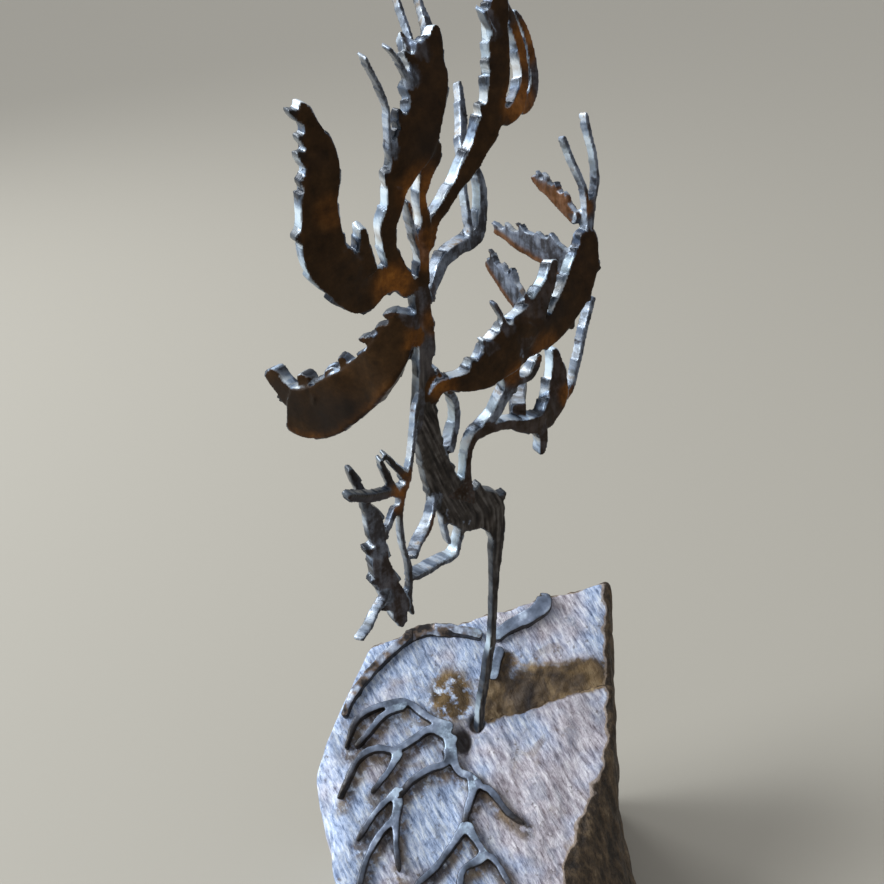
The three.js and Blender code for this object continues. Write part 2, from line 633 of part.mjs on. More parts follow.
addPiece('rock', rockSolid(0).subtract(socketSolid()), rockMaterial);
const tree = addPiece('tree', treeSolid(), steelMaterial);
tree.position.copy(plateFrame.position);
tree.rotation.copy(plateFrame.rotation);
addPiece('root_front_spray', rootPiece(sprayBlocks), steelMaterial);
addPiece('root_ridge_left', rootPiece(leftRootBlocks), steelMaterial);
addPiece('root_ridge_right', rootPiece(rightRootBlocks), steelMaterial);

export default group;
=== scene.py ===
"""A small wind-bent tree cut from steel plate, standing on a natural rock.

The fine surface is worked out in millimetres in the same frame as the solids: the tree's limbs are
swept along their rows and fused, the rock is one radial form, and both are then weathered.
"""
import math
from collections import namedtuple

import bpy
import numpy as np
from mathutils import Matrix, Vector, noise
from mathutils.kdtree import KDTree


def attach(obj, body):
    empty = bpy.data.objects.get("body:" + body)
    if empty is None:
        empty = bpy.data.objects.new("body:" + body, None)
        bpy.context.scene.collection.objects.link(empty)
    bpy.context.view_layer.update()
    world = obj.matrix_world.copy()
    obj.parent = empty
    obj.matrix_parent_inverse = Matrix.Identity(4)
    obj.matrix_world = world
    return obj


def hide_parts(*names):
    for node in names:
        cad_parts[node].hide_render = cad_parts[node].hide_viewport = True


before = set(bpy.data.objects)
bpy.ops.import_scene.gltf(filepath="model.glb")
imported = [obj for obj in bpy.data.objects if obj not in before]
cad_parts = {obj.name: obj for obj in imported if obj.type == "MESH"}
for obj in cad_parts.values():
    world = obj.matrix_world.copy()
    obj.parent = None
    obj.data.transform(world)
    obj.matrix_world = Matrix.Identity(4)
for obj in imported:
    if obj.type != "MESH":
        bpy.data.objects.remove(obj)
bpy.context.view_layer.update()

MM = 0.001

# Sizes of the real thing, in millimetres
ROCK_WIDTH = 160.0
ROCK_DEPTH = 136.0
ROCK_HEIGHT = 158.0
PLATE_THICKNESS = 6.4
ROOT_THICKNESS = 4.5
ROOT_WIDTH = 5.0
ROOT_SINK = 1.6
SOCKET_DEPTH = 9.0
PLATE_TURN = math.radians(28)
UP = np.array([0.0, 0.0, 1.0])


# Small tools

def smooth(low, high, value):
    t = np.clip((value - low) / (high - low), 0.0, 1.0)
    return t * t * (3 - 2 * t)


def unit(vectors):
    return vectors / np.linalg.norm(vectors, axis=-1, keepdims=True)


def noise_at(points, scale, offset=0.0):
    """Smooth noise from about -1 to 1, with features about as long as scale, in millimetres."""
    spread = points / scale + offset
    return np.array([noise.noise(p) for p in spread.tolist()])


def distance_along(points):
    steps = np.linalg.norm(np.diff(points, axis=0), axis=1)
    return np.concatenate([[0], np.cumsum(steps)])


def nearest_rows(table, points):
    """For each point the row of the table whose first three values lie nearest to it."""
    tree = KDTree(len(table))
    for i, row in enumerate(table):
        tree.insert(row[:3], i)
    tree.balance()
    return table[[tree.find(p)[1] for p in points.tolist()]]


def placed(name, data):
    """A new object in the scene that shows the data."""
    thing = bpy.data.objects.new(name, data)
    bpy.context.scene.collection.objects.link(thing)
    return thing


def mesh_object(name, points_mm, faces):
    mesh = bpy.data.meshes.new(name)
    mesh.from_pydata((np.asarray(points_mm) * MM).tolist(), [], [list(f) for f in faces])
    mesh.update()
    return placed(name, mesh)


def points_of(piece):
    points = np.empty(len(piece.data.vertices) * 3)
    piece.data.vertices.foreach_get("co", points)
    return points.reshape(-1, 3) / MM


def move_points(piece, points_mm):
    piece.data.vertices.foreach_set("co", (points_mm * MM).ravel())
    piece.data.update()


def normals_of(piece):
    normals = np.empty(len(piece.data.vertices) * 3)
    piece.data.vertex_normals.foreach_get("vector", normals)
    return normals.reshape(-1, 3)


def keep_values(piece, **values):
    """Keeps one number of each name at every point, for the materials."""
    for name, numbers in values.items():
        layer = piece.data.attributes.new(name, "FLOAT", "POINT")
        layer.data.foreach_set("value", np.asarray(numbers, dtype=np.float32))


def smooth_shaded(piece):
    piece.data.polygons.foreach_set("use_smooth", [True] * len(piece.data.polygons))


def run_modifier(piece, kind, **settings):
    modifier = piece.modifiers.new(kind.lower(), kind)
    for key, value in settings.items():
        setattr(modifier, key, value)
    with bpy.context.temp_override(object=piece, active_object=piece):
        bpy.ops.object.modifier_apply(modifier=modifier.name)


# Rock

CORE = np.array([-0.03 * ROCK_WIDTH, -0.03 * ROCK_DEPTH, 0.38 * ROCK_HEIGHT])
MAIN_FACE = ((0, -0.56, 0.83), (-0.025, -0.02, 0.752))
MAIN_OUT = unit(np.array(MAIN_FACE[0]))
ROCK_FACES = [
    ((-0.22, 0.95, 0.1), (0, 0.31, 0.8)),
    ((-0.88, 0.44, 0.1), (-0.42, 0.02, 0.7)),
    ((-0.93, -0.1, -0.2), (-0.475, -0.18, 0.66)),
    ((-0.72, -0.4, 0.57), (-0.44, -0.1, 0.67)),
    ((0.99, -0.1, 0.05), (0.37, 0.1, 0.9)),
    ((0.72, -0.59, 0.36), (0.31, -0.2, 0.65)),
    ((0.3, 0.95, 0.05), (0.3, 0.5, 0.5)),
    ((0.05, -0.95, 0.3), (0, -0.57, 0.25)),
    ((-0.6, -0.75, 0.05), (-0.36, -0.47, 0.3)),
]
EDGE_SOFTNESS = 1.6
FAR_AWAY = 4 * ROCK_WIDTH
BULGE_HEIGHT = 17.0
BULGE_REACH = 0.24 * ROCK_WIDTH
CREVICE_DROP = 8.0
CREVICE_LIP = 4.0
CREVICE_FOOT = (-0.022, 0.24)
CREVICE_ROOF = (0.09, 0.1)
HOLLOW_AT = np.array([-9.5, -8.5])
HOLLOW_RADII = np.array([5.0, 5.6])
HOLLOW_DEPTH = 4.5
FOOT_DIP = 3.0
UPPER_FACE = 60.0
FOOT_DIP_SHIFT = np.array([1.0, 0.5])
RIGHT_FACES = (4, 5)
PEG_RUST_AT = np.array([11.0, 20.0])
RUST_PATCH_AT = np.array([-14, 8])
RUST_PATCH_RADII = np.array([11, 12])
ROCK_CELLS = 126
HALVINGS = 24


def face_plane(face):
    return unit(np.array(face[0], dtype=float)), np.array(face[1]) * [ROCK_WIDTH, ROCK_DEPTH, ROCK_HEIGHT]


def face_distance(face, directions):
    out, at = face_plane(face)
    facing = directions @ out
    return np.where(facing > 0.02, ((at - CORE) @ out) / np.maximum(facing, 0.02), FAR_AWAY)


def above_line(points, line):
    """How far places on the plan lie behind a line given by its height and slope."""
    return points[:, 1] - line[0] * ROCK_DEPTH - line[1] * points[:, 0]


def crevice_depth(points):
    opened = smooth(0, CREVICE_LIP, above_line(points, CREVICE_FOOT))
    opened *= 1 - smooth(0, CREVICE_LIP, above_line(points, CREVICE_ROOF))
    return CREVICE_DROP * opened * smooth(-0.02 * ROCK_WIDTH, 0.09 * ROCK_WIDTH, points[:, 0])


def weathering(points):
    x, y, z = points.T
    waves = np.sin(x / 11 + z / 17) * np.sin(y / 9 - z / 13)
    return 1.1 * waves + 0.6 * np.sin(x / 4.3 - y / 5.1 + z / 6.7)


def bulge(points):
    centre = np.array([0.44 * ROCK_WIDTH, -0.34 * ROCK_DEPTH, 0.14 * ROCK_HEIGHT])
    away = np.linalg.norm(points - centre, axis=1) / BULGE_REACH
    return BULGE_HEIGHT * np.exp(-away * away)


def rock_radius(directions):
    main = face_distance(MAIN_FACE, directions)
    on_face = CORE + directions * main[:, None]
    main = np.where(main < FAR_AWAY, main - crevice_depth(on_face), main)
    distances = np.stack([main] + [face_distance(face, directions) for face in ROCK_FACES])
    nearest = distances.min(axis=0)
    total = np.exp((nearest - distances) / EDGE_SOFTNESS).sum(axis=0)
    radius = nearest - EDGE_SOFTNESS * np.log(total)
    points = CORE + directions * radius[:, None]
    rough = radius + weathering(points) + bulge(points)
    down = directions[:, 2] < 0
    floor = -CORE[2] / np.where(down, directions[:, 2], -1.0)
    return np.where(down, np.minimum(rough, floor), rough)


def surface_height(x, y):
    """Height of the rock's upper surface over places on its plan, found by halving."""
    low = np.full(len(x), CORE[2])
    high = np.full(len(x), 2 * ROCK_HEIGHT)
    for _ in range(HALVINGS):
        middle = (low + high) / 2
        reach = np.column_stack([x, y, middle]) - CORE
        length = np.linalg.norm(reach, axis=1)
        inside = length < rock_radius(reach / length[:, None])
        low = np.where(inside, middle, low)
        high = np.where(inside, high, middle)
    return low


# Strips of plate

def whole_rows(rows):
    """Rows filled up with ones to five numbers."""
    return np.array([list(row) + [1.0] * (5 - len(row)) for row in rows], dtype=float)


def smooth_run(rows, step_mm):
    """A smooth run of rows through the listed ones, about step_mm apart."""
    rows = whole_rows(rows)
    run = []
    last = len(rows) - 1
    for i in range(last):
        a, b, c, d = (rows[min(max(k, 0), last)] for k in (i - 1, i, i + 1, i + 2))
        count = max(int(np.linalg.norm(c[:3] - b[:3]) / step_mm), 1)
        for t in np.arange(count) / count:
            bend = 2 * a - 5 * b + 4 * c - d
            twist = 3 * b - a - 3 * c + d
            run.append(0.5 * (2 * b + (c - a) * t + bend * t * t + twist * t ** 3))
    run.append(rows[-1])
    return np.array(run)


def limb_frames(points, facing):
    """Across and facing directions at each point of a limb."""
    along = unit(np.gradient(points, axis=0))
    normal = unit(facing - along * np.sum(facing * along, axis=1, keepdims=True))
    return np.cross(normal, along), normal


# Corners of a cut plate's section, its arrises a little melted: across and facing, from -1 to 1
SECTION = [(-1, -0.72), (-0.9, -1), (-0.45, -1), (0, -1), (0.45, -1), (0.9, -1), (1, -0.72), (1, 0),
           (1, 0.72), (0.9, 1), (0.45, 1), (0, 1), (-0.45, 1), (-0.9, 1), (-1, 0.72), (-1, 0)]

END_ROUND = 2.2


def sweep(points, widths, thicknesses, facing):
    """A closed strip of plate along points; its ends are rounded over."""
    across, normal = limb_frames(points, facing)
    travelled = distance_along(points)
    verts = []
    faces = []
    size = len(SECTION)
    for i, point in enumerate(points):
        round_over = min(widths[i] / 2, END_ROUND)
        near_end = min(travelled[-1] - travelled[i], travelled[i]) / round_over
        closing = 0.45 + 0.55 * math.sqrt(1 - (1 - min(near_end, 1.0)) ** 2)
        for side, face in SECTION:
            reach = across[i] * side * closing * widths[i] / 2
            verts.append(point + reach + normal[i] * face * thicknesses[i] / 2)
    for i in range(len(points) - 1):
        for k in range(size):
            j = (k + 1) % size
            faces.append((i * size + k, i * size + j, (i + 1) * size + j, (i + 1) * size + k))
    faces.append(tuple(range(size - 1, -1, -1)))
    faces.append(tuple((len(points) - 1) * size + k for k in range(size)))
    return verts, faces


def fused(name, strips, voxel_mm, smoothing):
    """One skin round all the strips."""
    verts = []
    faces = []
    for strip_verts, strip_faces in strips:
        first = len(verts)
        verts.extend(strip_verts)
        faces.extend(tuple(first + k for k in face) for face in strip_faces)
    piece = mesh_object(name, verts, faces)
    run_modifier(piece, "REMESH", mode="VOXEL", voxel_size=voxel_mm * MM, adaptivity=0.0)
    run_modifier(piece, "SMOOTH", factor=0.5, iterations=smoothing)
    return piece


# Tree

Strip = namedtuple("Strip", "points widths thicknesses across normal travelled")

FOOT = np.array([-0.025 * ROCK_WIDTH, -0.022 * ROCK_DEPTH, 0.0])
FOOT[2] = surface_height(FOOT[:1], FOOT[1:2])[0]
PLATE_ALONG = np.array([math.cos(PLATE_TURN), math.sin(PLATE_TURN), 0])
PLATE_FACING = np.array([math.sin(PLATE_TURN), -math.cos(PLATE_TURN), 0])

# Rows of [along the plate, height over the rock, bent forward, width, share of the thickness]
LIMBS = {
    "trunk": [
        [-20, 213, 0, 7], [-20, 202, 0, 7], [-19, 191, 0, 8], [-20, 182, 0, 6], [-20, 171, 0, 7.5],
        [-20, 158, 0, 10], [-18, 146, 0, 11], [-15, 134, 0, 13], [-9, 121, 0, 16], [-1, 114, 0, 18.5],
        [6, 112, 0, 16.5], [10, 104, 0, 10], [11.5, 97, 0, 6.5, 0.85], [11, 87, 0, 5, 0.75],
        [10, 67, 0, 3.2, 0.65], [9, 46, 0, 3.2, 0.65], [7, 34, 0, 3.5, 0.7], [5, 21, 0, 3.5, 0.7],
        [3, 9, 0, 3.5, 0.7], [2, -SOCKET_DEPTH, 0, 3.5, 0.7],
    ],
    "trunkTop": [
        [-20, 213, 0, 6], [-19, 223, 0, 4.5], [-19, 229, 0, 6], [-18, 237, 0, 4.5], [-19, 245, 0, 3.5],
        [-18, 253, 1, 5], [-17, 260, 3, 8.5], [-17, 266, 4, 9.5],
    ],
    "crown": [
        [-25, 212, 0, 7.5], [-29, 220, 1, 7.5], [-33, 230, 2, 6], [-34, 238, 3, 7], [-32, 245, 4, 7],
        [-30, 252, 4, 8.5], [-28, 258, 5, 11.5], [-24, 265, 5, 16], [-19, 274, 4, 14.5], [-16, 283, 2, 15],
        [-15, 291, 0, 13.5], [-12, 297, -1, 7], [-11, 302, -2, 2.5],
    ],
    "crownFingerLeft": [[-23, 286, 3, 2], [-28, 294, 5, 1.5], [-33, 299, 8, 1.5]],
    "crownFingerBack": [[-19, 288, 0, 3.5], [-20, 294, -3, 3], [-21, 299, -7, 2]],
    "crownFingerMiddle": [[-16, 289, 0, 3.5], [-18, 295, 0, 3], [-19, 298, 0, 1.5]],
    "crownBack1": [
        [-14, 288, -3, 1.5], [-15, 294, -9, 1.5], [-15, 301, -14, 1.5], [-16, 309, -18, 1.5],
        [-17, 315, -20, 1.5],
    ],
    "crownBack2": [[-10, 294, -3, 3.5], [-9, 299, -9, 3.5], [-9, 306, -14, 2], [-10, 313, -16, 1.5]],
    "slenderFinger": [
        [-28, 253, 4, 3.5], [-32, 262, 5, 2], [-33, 269, 6, 1.5], [-33, 278, 6, 1.5], [-35, 284, 7, 1.5],
        [-39, 291, 9, 1.5], [-43, 298, 11, 1.5],
    ],
    "strand": [[-26, 247, 3, 1.5], [-24, 238, 2, 1.5], [-22, 230, 1, 1.5], [-18, 223, 0, 1.5]],
    "crest": [
        [-18, 227, 0, 6], [-14, 236, -1, 4.5], [-9, 241, -2, 5], [-4, 246, -3, 5], [1, 251, -4, 7],
        [6, 258, -4, 8.5], [10, 265, -4, 10.5], [13, 273, -4, 8.5], [15, 281, -5, 9], [16, 289, -6, 9],
        [16, 297, -7, 8.5], [17, 305, -8, 8], [18, 311, -9, 4.5], [18, 317, -10, 2],
    ],
    "crestLeftFinger": [[14, 296, -6, 2], [11, 301, -5, 1.5], [9, 305, -4, 1.5]],
    "crestRight": [
        [15, 267, -4, 7], [21, 269, -5, 6.5], [25, 273, -7, 5], [28, 279, -9, 4], [28, 288, -11, 4],
        [25, 298, -12, 3.5], [22, 306, -13, 2.5], [20, 312, -14, 1.5],
    ],
    "crestFarRight": [
        [24, 269, -6, 5.5], [30, 271, -9, 5], [34, 277, -12, 4], [34, 285, -14, 3.5], [33, 293, -16, 3],
        [29, 301, -17, 2],
    ],
    "smallPad": [[4, 251, -8, 2], [7, 257, -16, 3.5], [10, 267, -21, 3], [11, 277, -25, 2]],
    "fork": [
        [-20, 200, -1, 4], [-16, 208, -2, 3.5], [-12, 213, -4, 4.5], [-8, 218, -6, 5], [-2, 221, -8, 5.5],
        [5, 222, -10, 5.5], [10, 224, -11, 5], [12, 231, -12, 4], [13, 240, -13, 3.5], [12, 246, -14, 3],
        [10, 249, -15, 2.5],
    ],
    "forkLeft": [[6, 225, -9, 2], [6, 233, -11, 2], [6, 240, -13, 2], [6, 246, -14, 2]],
    "leftHigh": [
        [-23, 213, 0, 7], [-30, 218, 0, 8], [-37, 218.5, 1, 12], [-45, 219, 3, 19.5], [-53, 225, 6, 16],
        [-59, 233, 8, 17], [-61, 243, 9, 15.5], [-61, 253, 9, 14], [-59, 263, 9, 13], [-59, 270, 8, 11],
        [-61, 277, 8, 6.5], [-63, 283, 8, 4], [-65, 286, 8, 2],
    ],
    "leftHighProng": [[-43, 224, 4, 9.5], [-44.5, 233, 6, 5.5], [-45.5, 239, 8, 3.8], [-46.5, 243, 9, 2.8]],
    "leftHighProngLow": [[-45, 225, 4, 8], [-49, 231, 6, 4.5], [-51.5, 236.5, 8, 2.6]],
    "leftLow": [
        [-24, 204, 0, 8], [-28, 194, -3, 13.5], [-33, 182, -8, 17], [-37, 172, -16, 19.5],
        [-43, 164, -24, 21.5], [-48, 157, -32, 22.5], [-53, 154.5, -40, 22], [-56, 154.5, -45, 19],
    ],
    "leftLowFingerEnd": [[-54, 159, -43, 11], [-57, 164, -50, 8.5], [-59, 169, -54, 7.5]],
    "leftLowFingerA": [[-49, 160, -33, 9], [-50, 166, -38, 7.5], [-51, 171, -40, 5.5]],
    "leftLowFingerB": [[-41, 169, -23, 10], [-43, 173, -27, 7.5], [-45, 176, -29, 6]],
    "leftLowFingerC": [[-38, 175, -18, 6], [-40, 179, -22, 4.5], [-42, 182, -24, 3]],
    "rightHigh": [
        [-18, 167, 0, 5.5], [-15, 173, 2, 6], [-11, 174, 3, 6], [-4, 173, 3, 9], [5, 175, 2, 15],
        [13, 179, 1, 20], [20, 182, 0, 18.5], [29, 181, -2, 13], [38, 182, -4, 12], [46, 188, -6, 14.5],
        [52, 194, -8, 15.5], [57, 202, -10, 14.5], [60, 210, -12, 10], [60, 216, -13, 6.5],
    ],
    "rightHighProng": [
        [20, 185, 0, 17.5], [29, 190, -3, 12], [36, 197, -6, 7.5], [40, 202, -8, 5.5], [43, 208, -10, 4],
    ],
    "tipRight": [
        [62, 214, -13, 3], [64, 226, -14, 2], [66, 235, -15, 2], [65, 245, -16, 2], [64, 252, -18, 2],
        [63, 260, -20, 2],
    ],
    "tipLeft": [
        [61, 216, -13, 2], [61, 230, -15, 2], [58, 239, -17, 2], [56, 245, -19, 2], [54, 252, -21, 2],
    ],
    "fanTop": [
        [59, 219, -15, 5], [58, 223, -22, 6.5], [57, 227, -30, 6.5], [56, 229, -37, 4.5], [55, 231, -42, 2],
    ],
    "fanMid": [
        [54, 200, -10, 14], [51, 204.5, -19, 13.5], [49, 206, -29, 11], [46, 207, -39, 8],
        [44, 208, -47, 4.5], [42, 208, -51, 2],
    ],
    "fanLow": [[27, 193, -3, 9], [26, 199, -12, 10.5], [25, 203, -19, 8], [24, 206, -26, 4]],
    "inner": [
        [17, 178, 0, 10], [18, 171, -1, 8.5], [18, 163, -2, 6.5], [15, 157, -3, 5], [12, 151, -4, 4.5],
        [8, 148, -4, 4.5], [4, 144, -4, 4.5],
    ],
    "bar": [[18, 167, -1, 4.5], [24, 165, -2, 3.5], [29, 166, -3, 3.5], [33, 173, -4, 3]],
    "rightLow": [
        [-6, 121, 0, 13.5], [-3, 127, 0, 5], [-2, 135, -1, 3], [0, 142, -2, 3.5], [4, 146, -3, 4.5],
        [11, 146, -4, 4.5], [19, 145, -6, 4.5], [28, 141, -8, 6.5], [38, 138, -11, 9], [45, 140, -14, 11],
        [50, 144, -17, 12], [52, 152, -19, 9.5], [52, 158, -20, 6], [51, 165, -21, 3.5],
    ],
    "hangProng": [[39, 136, -11, 6.5], [40, 129, -11, 4], [39, 123, -11, 3]],
    "rod": [
        [54, 143, -18, 6], [60, 145, -20, 2.5], [65, 157, -22, 2.5], [69, 169, -24, 2.5],
        [74, 181, -26, 2.5],
    ],
    "triPad": [[28, 144, -9, 11.5], [32, 146, -17, 11], [39, 149, -26, 6]],
    "loop": [[-11, 142, 0, 3.5], [-6, 147, -5, 3.5], [-3, 153, -7, 3], [-5, 162, -5, 3], [-11, 171, 0, 3]],
    "hangStem": [
        [-21, 173, 0, 2], [-24, 167, 1, 2], [-27, 158, 4, 2], [-30, 149, 7, 2], [-33, 142, 9, 2.5],
        [-37, 137, 12, 3], [-39, 130, 14, 2], [-39, 119, 15, 2], [-37, 109, 15, 2], [-37, 101, 16, 2],
        [-38, 93, 16, 2.5], [-37, 86, 17, 2],
    ],
    "hangRod": [
        [-35, 138, 9, 4], [-44, 142, 15, 4], [-56, 149, 25, 4], [-65, 156, 33, 3.5], [-70, 160.5, 38, 2.5],
    ],
    "hangFingerA": [[-39, 138, 12, 3.5], [-44, 149, 15, 3], [-48, 159, 18, 2]],
    "hangFingerB": [[-32, 141, 8, 4], [-38, 149, 11, 3], [-45, 159, 15, 1.5]],
    "hangFingerC": [
        [-61, 160, 20, 2.5], [-58, 152, 20, 3.5], [-55, 143, 19, 3.5], [-52, 135, 18, 7],
        [-50, 124, 17, 7],
    ],
    "hangCross": [[-40, 134, 13, 2.5], [-45, 128, 16, 2], [-51, 120, 18, 2]],
    "lowerPad": [
        [-50, 124, 17, 6.5], [-50, 115, 17, 8], [-47, 103, 17, 9.5], [-43, 93, 17, 8.5],
        [-44, 86, 17, 4.5],
    ],
    "hangTail": [[-48, 100, 18, 2.5], [-56, 98, 24, 2], [-62, 97, 30, 2], [-68, 97, 35, 2]],
    "linkHigh": [
        [-17, 127, 0, 3.5], [-20, 121, 3, 2], [-24, 116, 6, 2.5], [-30, 113, 10, 2], [-35, 109, 14, 2],
    ],
    "linkSpur": [[-14, 118, 0, 2.5], [-13, 109, 0, 2], [-11, 101, 0, 2]],
    "linkLow": [
        [-4, 110, 0, 3], [-6, 102, -1, 2.5], [-10, 96, 1, 2.5], [-20, 98, 6, 2.5], [-29, 100, 11, 3],
        [-36, 102, 15, 2.5],
    ],
    "neckPeg": [[-12, 171, 1, 2], [-14, 176, 1, 2], [-16, 181, 1, 2]],
    "spikeHigh": [[16, 189, 1, 2], [13, 195, 1, 2], [10, 201, 1, 2]],
    "spikeLow": [[7, 183, 2, 2], [4, 188, 2, 2]],
}

Tooth = namedtuple("Tooth", "limb side start end count reach width lean")

# Rows of torch teeth: limb and its edge, shares of its length where they start and end, how many,
# how far they stand out, their width, and their lean along the limb in radians
TORCH_TEETH = [Tooth(*row) for row in [
    ("leftHigh", 1, 0.7, 0.88, 3, 4, 4.5, 0.9), ("leftHigh", 1, 0.5, 0.64, 2, 1.8, 8, 0),
    ("crown", 1, 0.42, 0.82, 5, 4, 4.5, 0.8), ("crest", 1, 0.5, 0.8, 3, 2, 4, 0.8),
    ("leftLow", -1, 0.03, 0.2, 3, 4.5, 5, 0.5), ("rightHigh", 1, 0.26, 0.42, 3, 2, 5, 0.3),
    ("rightHigh", -1, 0.5, 0.86, 5, 2, 6, -0.2), ("fanTop", -1, 0.25, 0.8, 4, 4, 2.2, 1),
    ("fanMid", -1, 0.2, 0.85, 5, 4.4, 2.6, 1), ("fanLow", -1, 0.3, 0.8, 3, 4.4, 2.6, 1),
    ("trunk", 1, 0.06, 0.18, 2, 2.2, 6, 0.9), ("trunk", 1, 0.24, 0.36, 3, 1.4, 4, 0.6),
    ("trunk", -1, 0.28, 0.38, 3, 1.2, 5, 0.4), ("trunk", 1, 0.46, 0.53, 3, 2.6, 3.5, -0.3),
    ("trunk", -1, 0.43, 0.53, 3, 1.2, 4.5, 0.4), ("lowerPad", -1, 0.1, 0.7, 3, 3.4, 4, -0.5),
    ("lowerPad", 1, 0.9, 1, 2, 3, 4, 1),
]]
TOOTH_RHYTHM = [1, 0.7, 1.2, 0.85]
TOOTH_TIP_SHARE = 0.22
TOOTH_STEPS = 9
LEAST_WIDTH = 1.2
# Spacing of the rows of a strip, and of the cells in which strips are fused
LIMB_STEP = 0.9
ROOT_STEP = 1.0
TREE_VOXEL = 0.66
ROOT_VOXEL = 0.55
# The share of the fused tree's triangles that is kept, so that they stay under 200,000
KEPT_SHARE = 0.64
# One bead of the torch on a cut edge, and how far apart along its run two limbs start
BEAD_LENGTH = 12.0
BEAD_HEIGHT = 1.4
SEED_STEP = 41.3
# How squarely the skin looks along the plate's facing, where a cut edge passes into a face
FACE_TURN = (0.55, 0.8)
# Heights over the rock where the bark fades out, where the stem ends, and where the trunk leans
BARK_FADE = (170, 200)
STEM_END = (88, 112)
TRUNK_LEAN = 0.43
LEANING = (112, 165)
# The lower left leaf: its glowing rim fades out upward between these heights
LOW_LEAF_TOP = 190
LOW_GLOW_FADE = (182, 162)
# Turned limbs have their own facing only from this far along, past the limb that they leave
TURNED_START = 6.0

# Limbs that the torch and hammer drew out thinner than the plate, as shares of its thickness
THINNED_LIMBS = {
    "fanTop": 0.5, "fanMid": 0.5, "fanLow": 0.5, "hangRod": 0.6, "hangFingerA": 0.6,
    "hangFingerB": 0.6, "hangFingerC": 0.7, "hangCross": 0.6, "hangTail": 0.65, "hangStem": 0.7,
    "crownFingerLeft": 0.7, "slenderFinger": 0.75, "crownBack1": 0.75, "crownBack2": 0.75,
    "tipLeft": 0.75, "tipRight": 0.75, "smallPad": 0.75, "forkLeft": 0.8, "spikeHigh": 0.65,
    "spikeLow": 0.65, "linkSpur": 0.75, "rod": 0.85,
}

# Limbs that are bent sideways round an upright line
TURNED_LIMBS = {"leftLow", "leftLowFingerEnd", "leftLowFingerA", "leftLowFingerB",
                "leftLowFingerC", "fanTop", "fanMid", "fanLow", "triPad"}

# Limbs whose teeth stand on the far edge, and whose near one is tempered orange
LOW_RIMMED = {"leftLow", "fanTop", "fanMid", "fanLow"}

# Colour of each limb: heat is how orange its face is tempered, grey how scoured it is
LIMB_TINTS = {name: (heat, grey) for names, heat, grey in [
    ("leftHigh leftHighProng", 0.5, 0.0), ("leftHighProngLow", 0.4, 0.1), ("rightHighProng", 0.3, 0.1),
    ("leftLow leftLowFingerEnd leftLowFingerA leftLowFingerB leftLowFingerC", 0.0, 0.0),
    ("crown trunkTop", 0.4, 0.0), ("crestRight", 0.9, 0.1), ("crestFarRight", 0.8, 0.3),
    ("crest", 0.15, 0.0), ("crownFingerLeft fork inner loop", 0.2, 0.8),
    ("crownBack1 linkLow", 0.5, 0.8), ("crownBack2 triPad hangTail", 0.2, 0.9),
    ("slenderFinger tipRight linkSpur", 0.3, 0.8),
    ("smallPad strand tipLeft fanTop linkHigh", 0.5, 0.9), ("forkLeft", 0.3, 0.9),
    ("rightHigh", 0.3, 0.0), ("fanMid", 0.4, 0.75), ("fanLow", 0.1, 0.9), ("bar", 0.7, 0.3),
    ("rod", 0.6, 0.9), ("rightLow", 0.1, 0.1), ("hangProng", 0.1, 0.2), ("hangStem", 0.3, 0.5),
    ("hangRod", 0.6, 0.1), ("hangFingerA hangFingerB", 0.2, 0.15), ("hangFingerC hangCross", 0.3, 0.6),
    ("lowerPad", 0.3, 0.3), ("trunk", 0.2, 0.25),
] for name in names.split()}

# Tempered orange places of the faces: along the plate, height, reach and strength
HEAT_SPOTS = [
    (-32, 217, 9, 1.0), (-20, 250, 11, 0.9), (-18, 228, 9, 0.7), (-57, 250, 7, 0.3),
    (-14, 173, 6, 0.6), (19, 169, 6, 0.6), (24, 272, 9, 1.0), (29, 290, 9, 0.9), (56, 144, 6, 0.7),
    (-36, 138, 9, 0.9), (-24, 118, 6, 0.6), (58, 226, 7, 0.6), (34, 176, 8, 0.5), (5, 104, 6, 0.5),
    (-15, 200, 7, 0.6),
]
# Cut edges left in dark scale: along the plate, height, reach and strength
SOOT_SPOTS = [
    (-29, 224, 9, 0.9), (-20, 205, 9, 0.6), (-62, 262, 3, 0.6), (50, 140, 8, 0.8), (10, 224, 6, 0.5),
    (-36, 110, 9, 0.4), (20, 175, 7, 0.5), (-12, 240, 7, 0.5), (-33, 260, 7, 0.8), (-28, 272, 6, 0.7),
    (-24, 285, 5, 0.6), (-50, 145, 13, 0.9), (-65, 156, 13, 0.9), (-46, 158, 8, 0.7),
    (-58, 160, 6, 0.7), (-50, 168, 9, 0.5),
]
# Painted highlights on cut edges, bright patches of light in their colour: along the plate, height, reach
# and strength
PAINTED_HIGHLIGHT_SPOTS = [
    (-2, 134, 9, 0.9), (12, 152, 6, 0.8), (18, 167, 5, 0.7), (-69, 247, 9, 0.7), (-67, 229, 8, 0.8),
    (48, 160, 8, 0.8), (36, 198, 7, 0.7), (48, 205, 6, 0.7), (12, 238, 8, 0.7), (-2, 248, 7, 0.8),
    (11, 290, 9, 0.7), (-36, 246, 8, 0.6), (-37, 230, 5, 0.8), (9, 43, 6, 0.9), (3, 9, 9, 0.8),
    (-5, 155, 8, 0.7), (-8, 98, 6, 0.7), (61, 245, 9, 0.5),
]
# Painted shade on faces, darkening them to near black: along the plate, height, reach and strength
PAINTED_SHADE_SPOTS = [
    (-44, 156, 14, 0.9), (-30, 166, 9, 0.7), (-60, 158, 10, 0.8), (-72, 172, 10, 0.8), (-55, 144, 8, 0.5),
    (-36, 100, 8, 0.6), (40, 190, 7, 0.6), (-8, 225, 7, 0.6), (-16, 262, 12, 0.6), (36, 165, 12, 0.6),
]

# How far each limb's face is bark instead of plain plate
BARK_LIMBS = {"trunk": 1.0, "hangStem": 0.3, "linkHigh": 0.4}


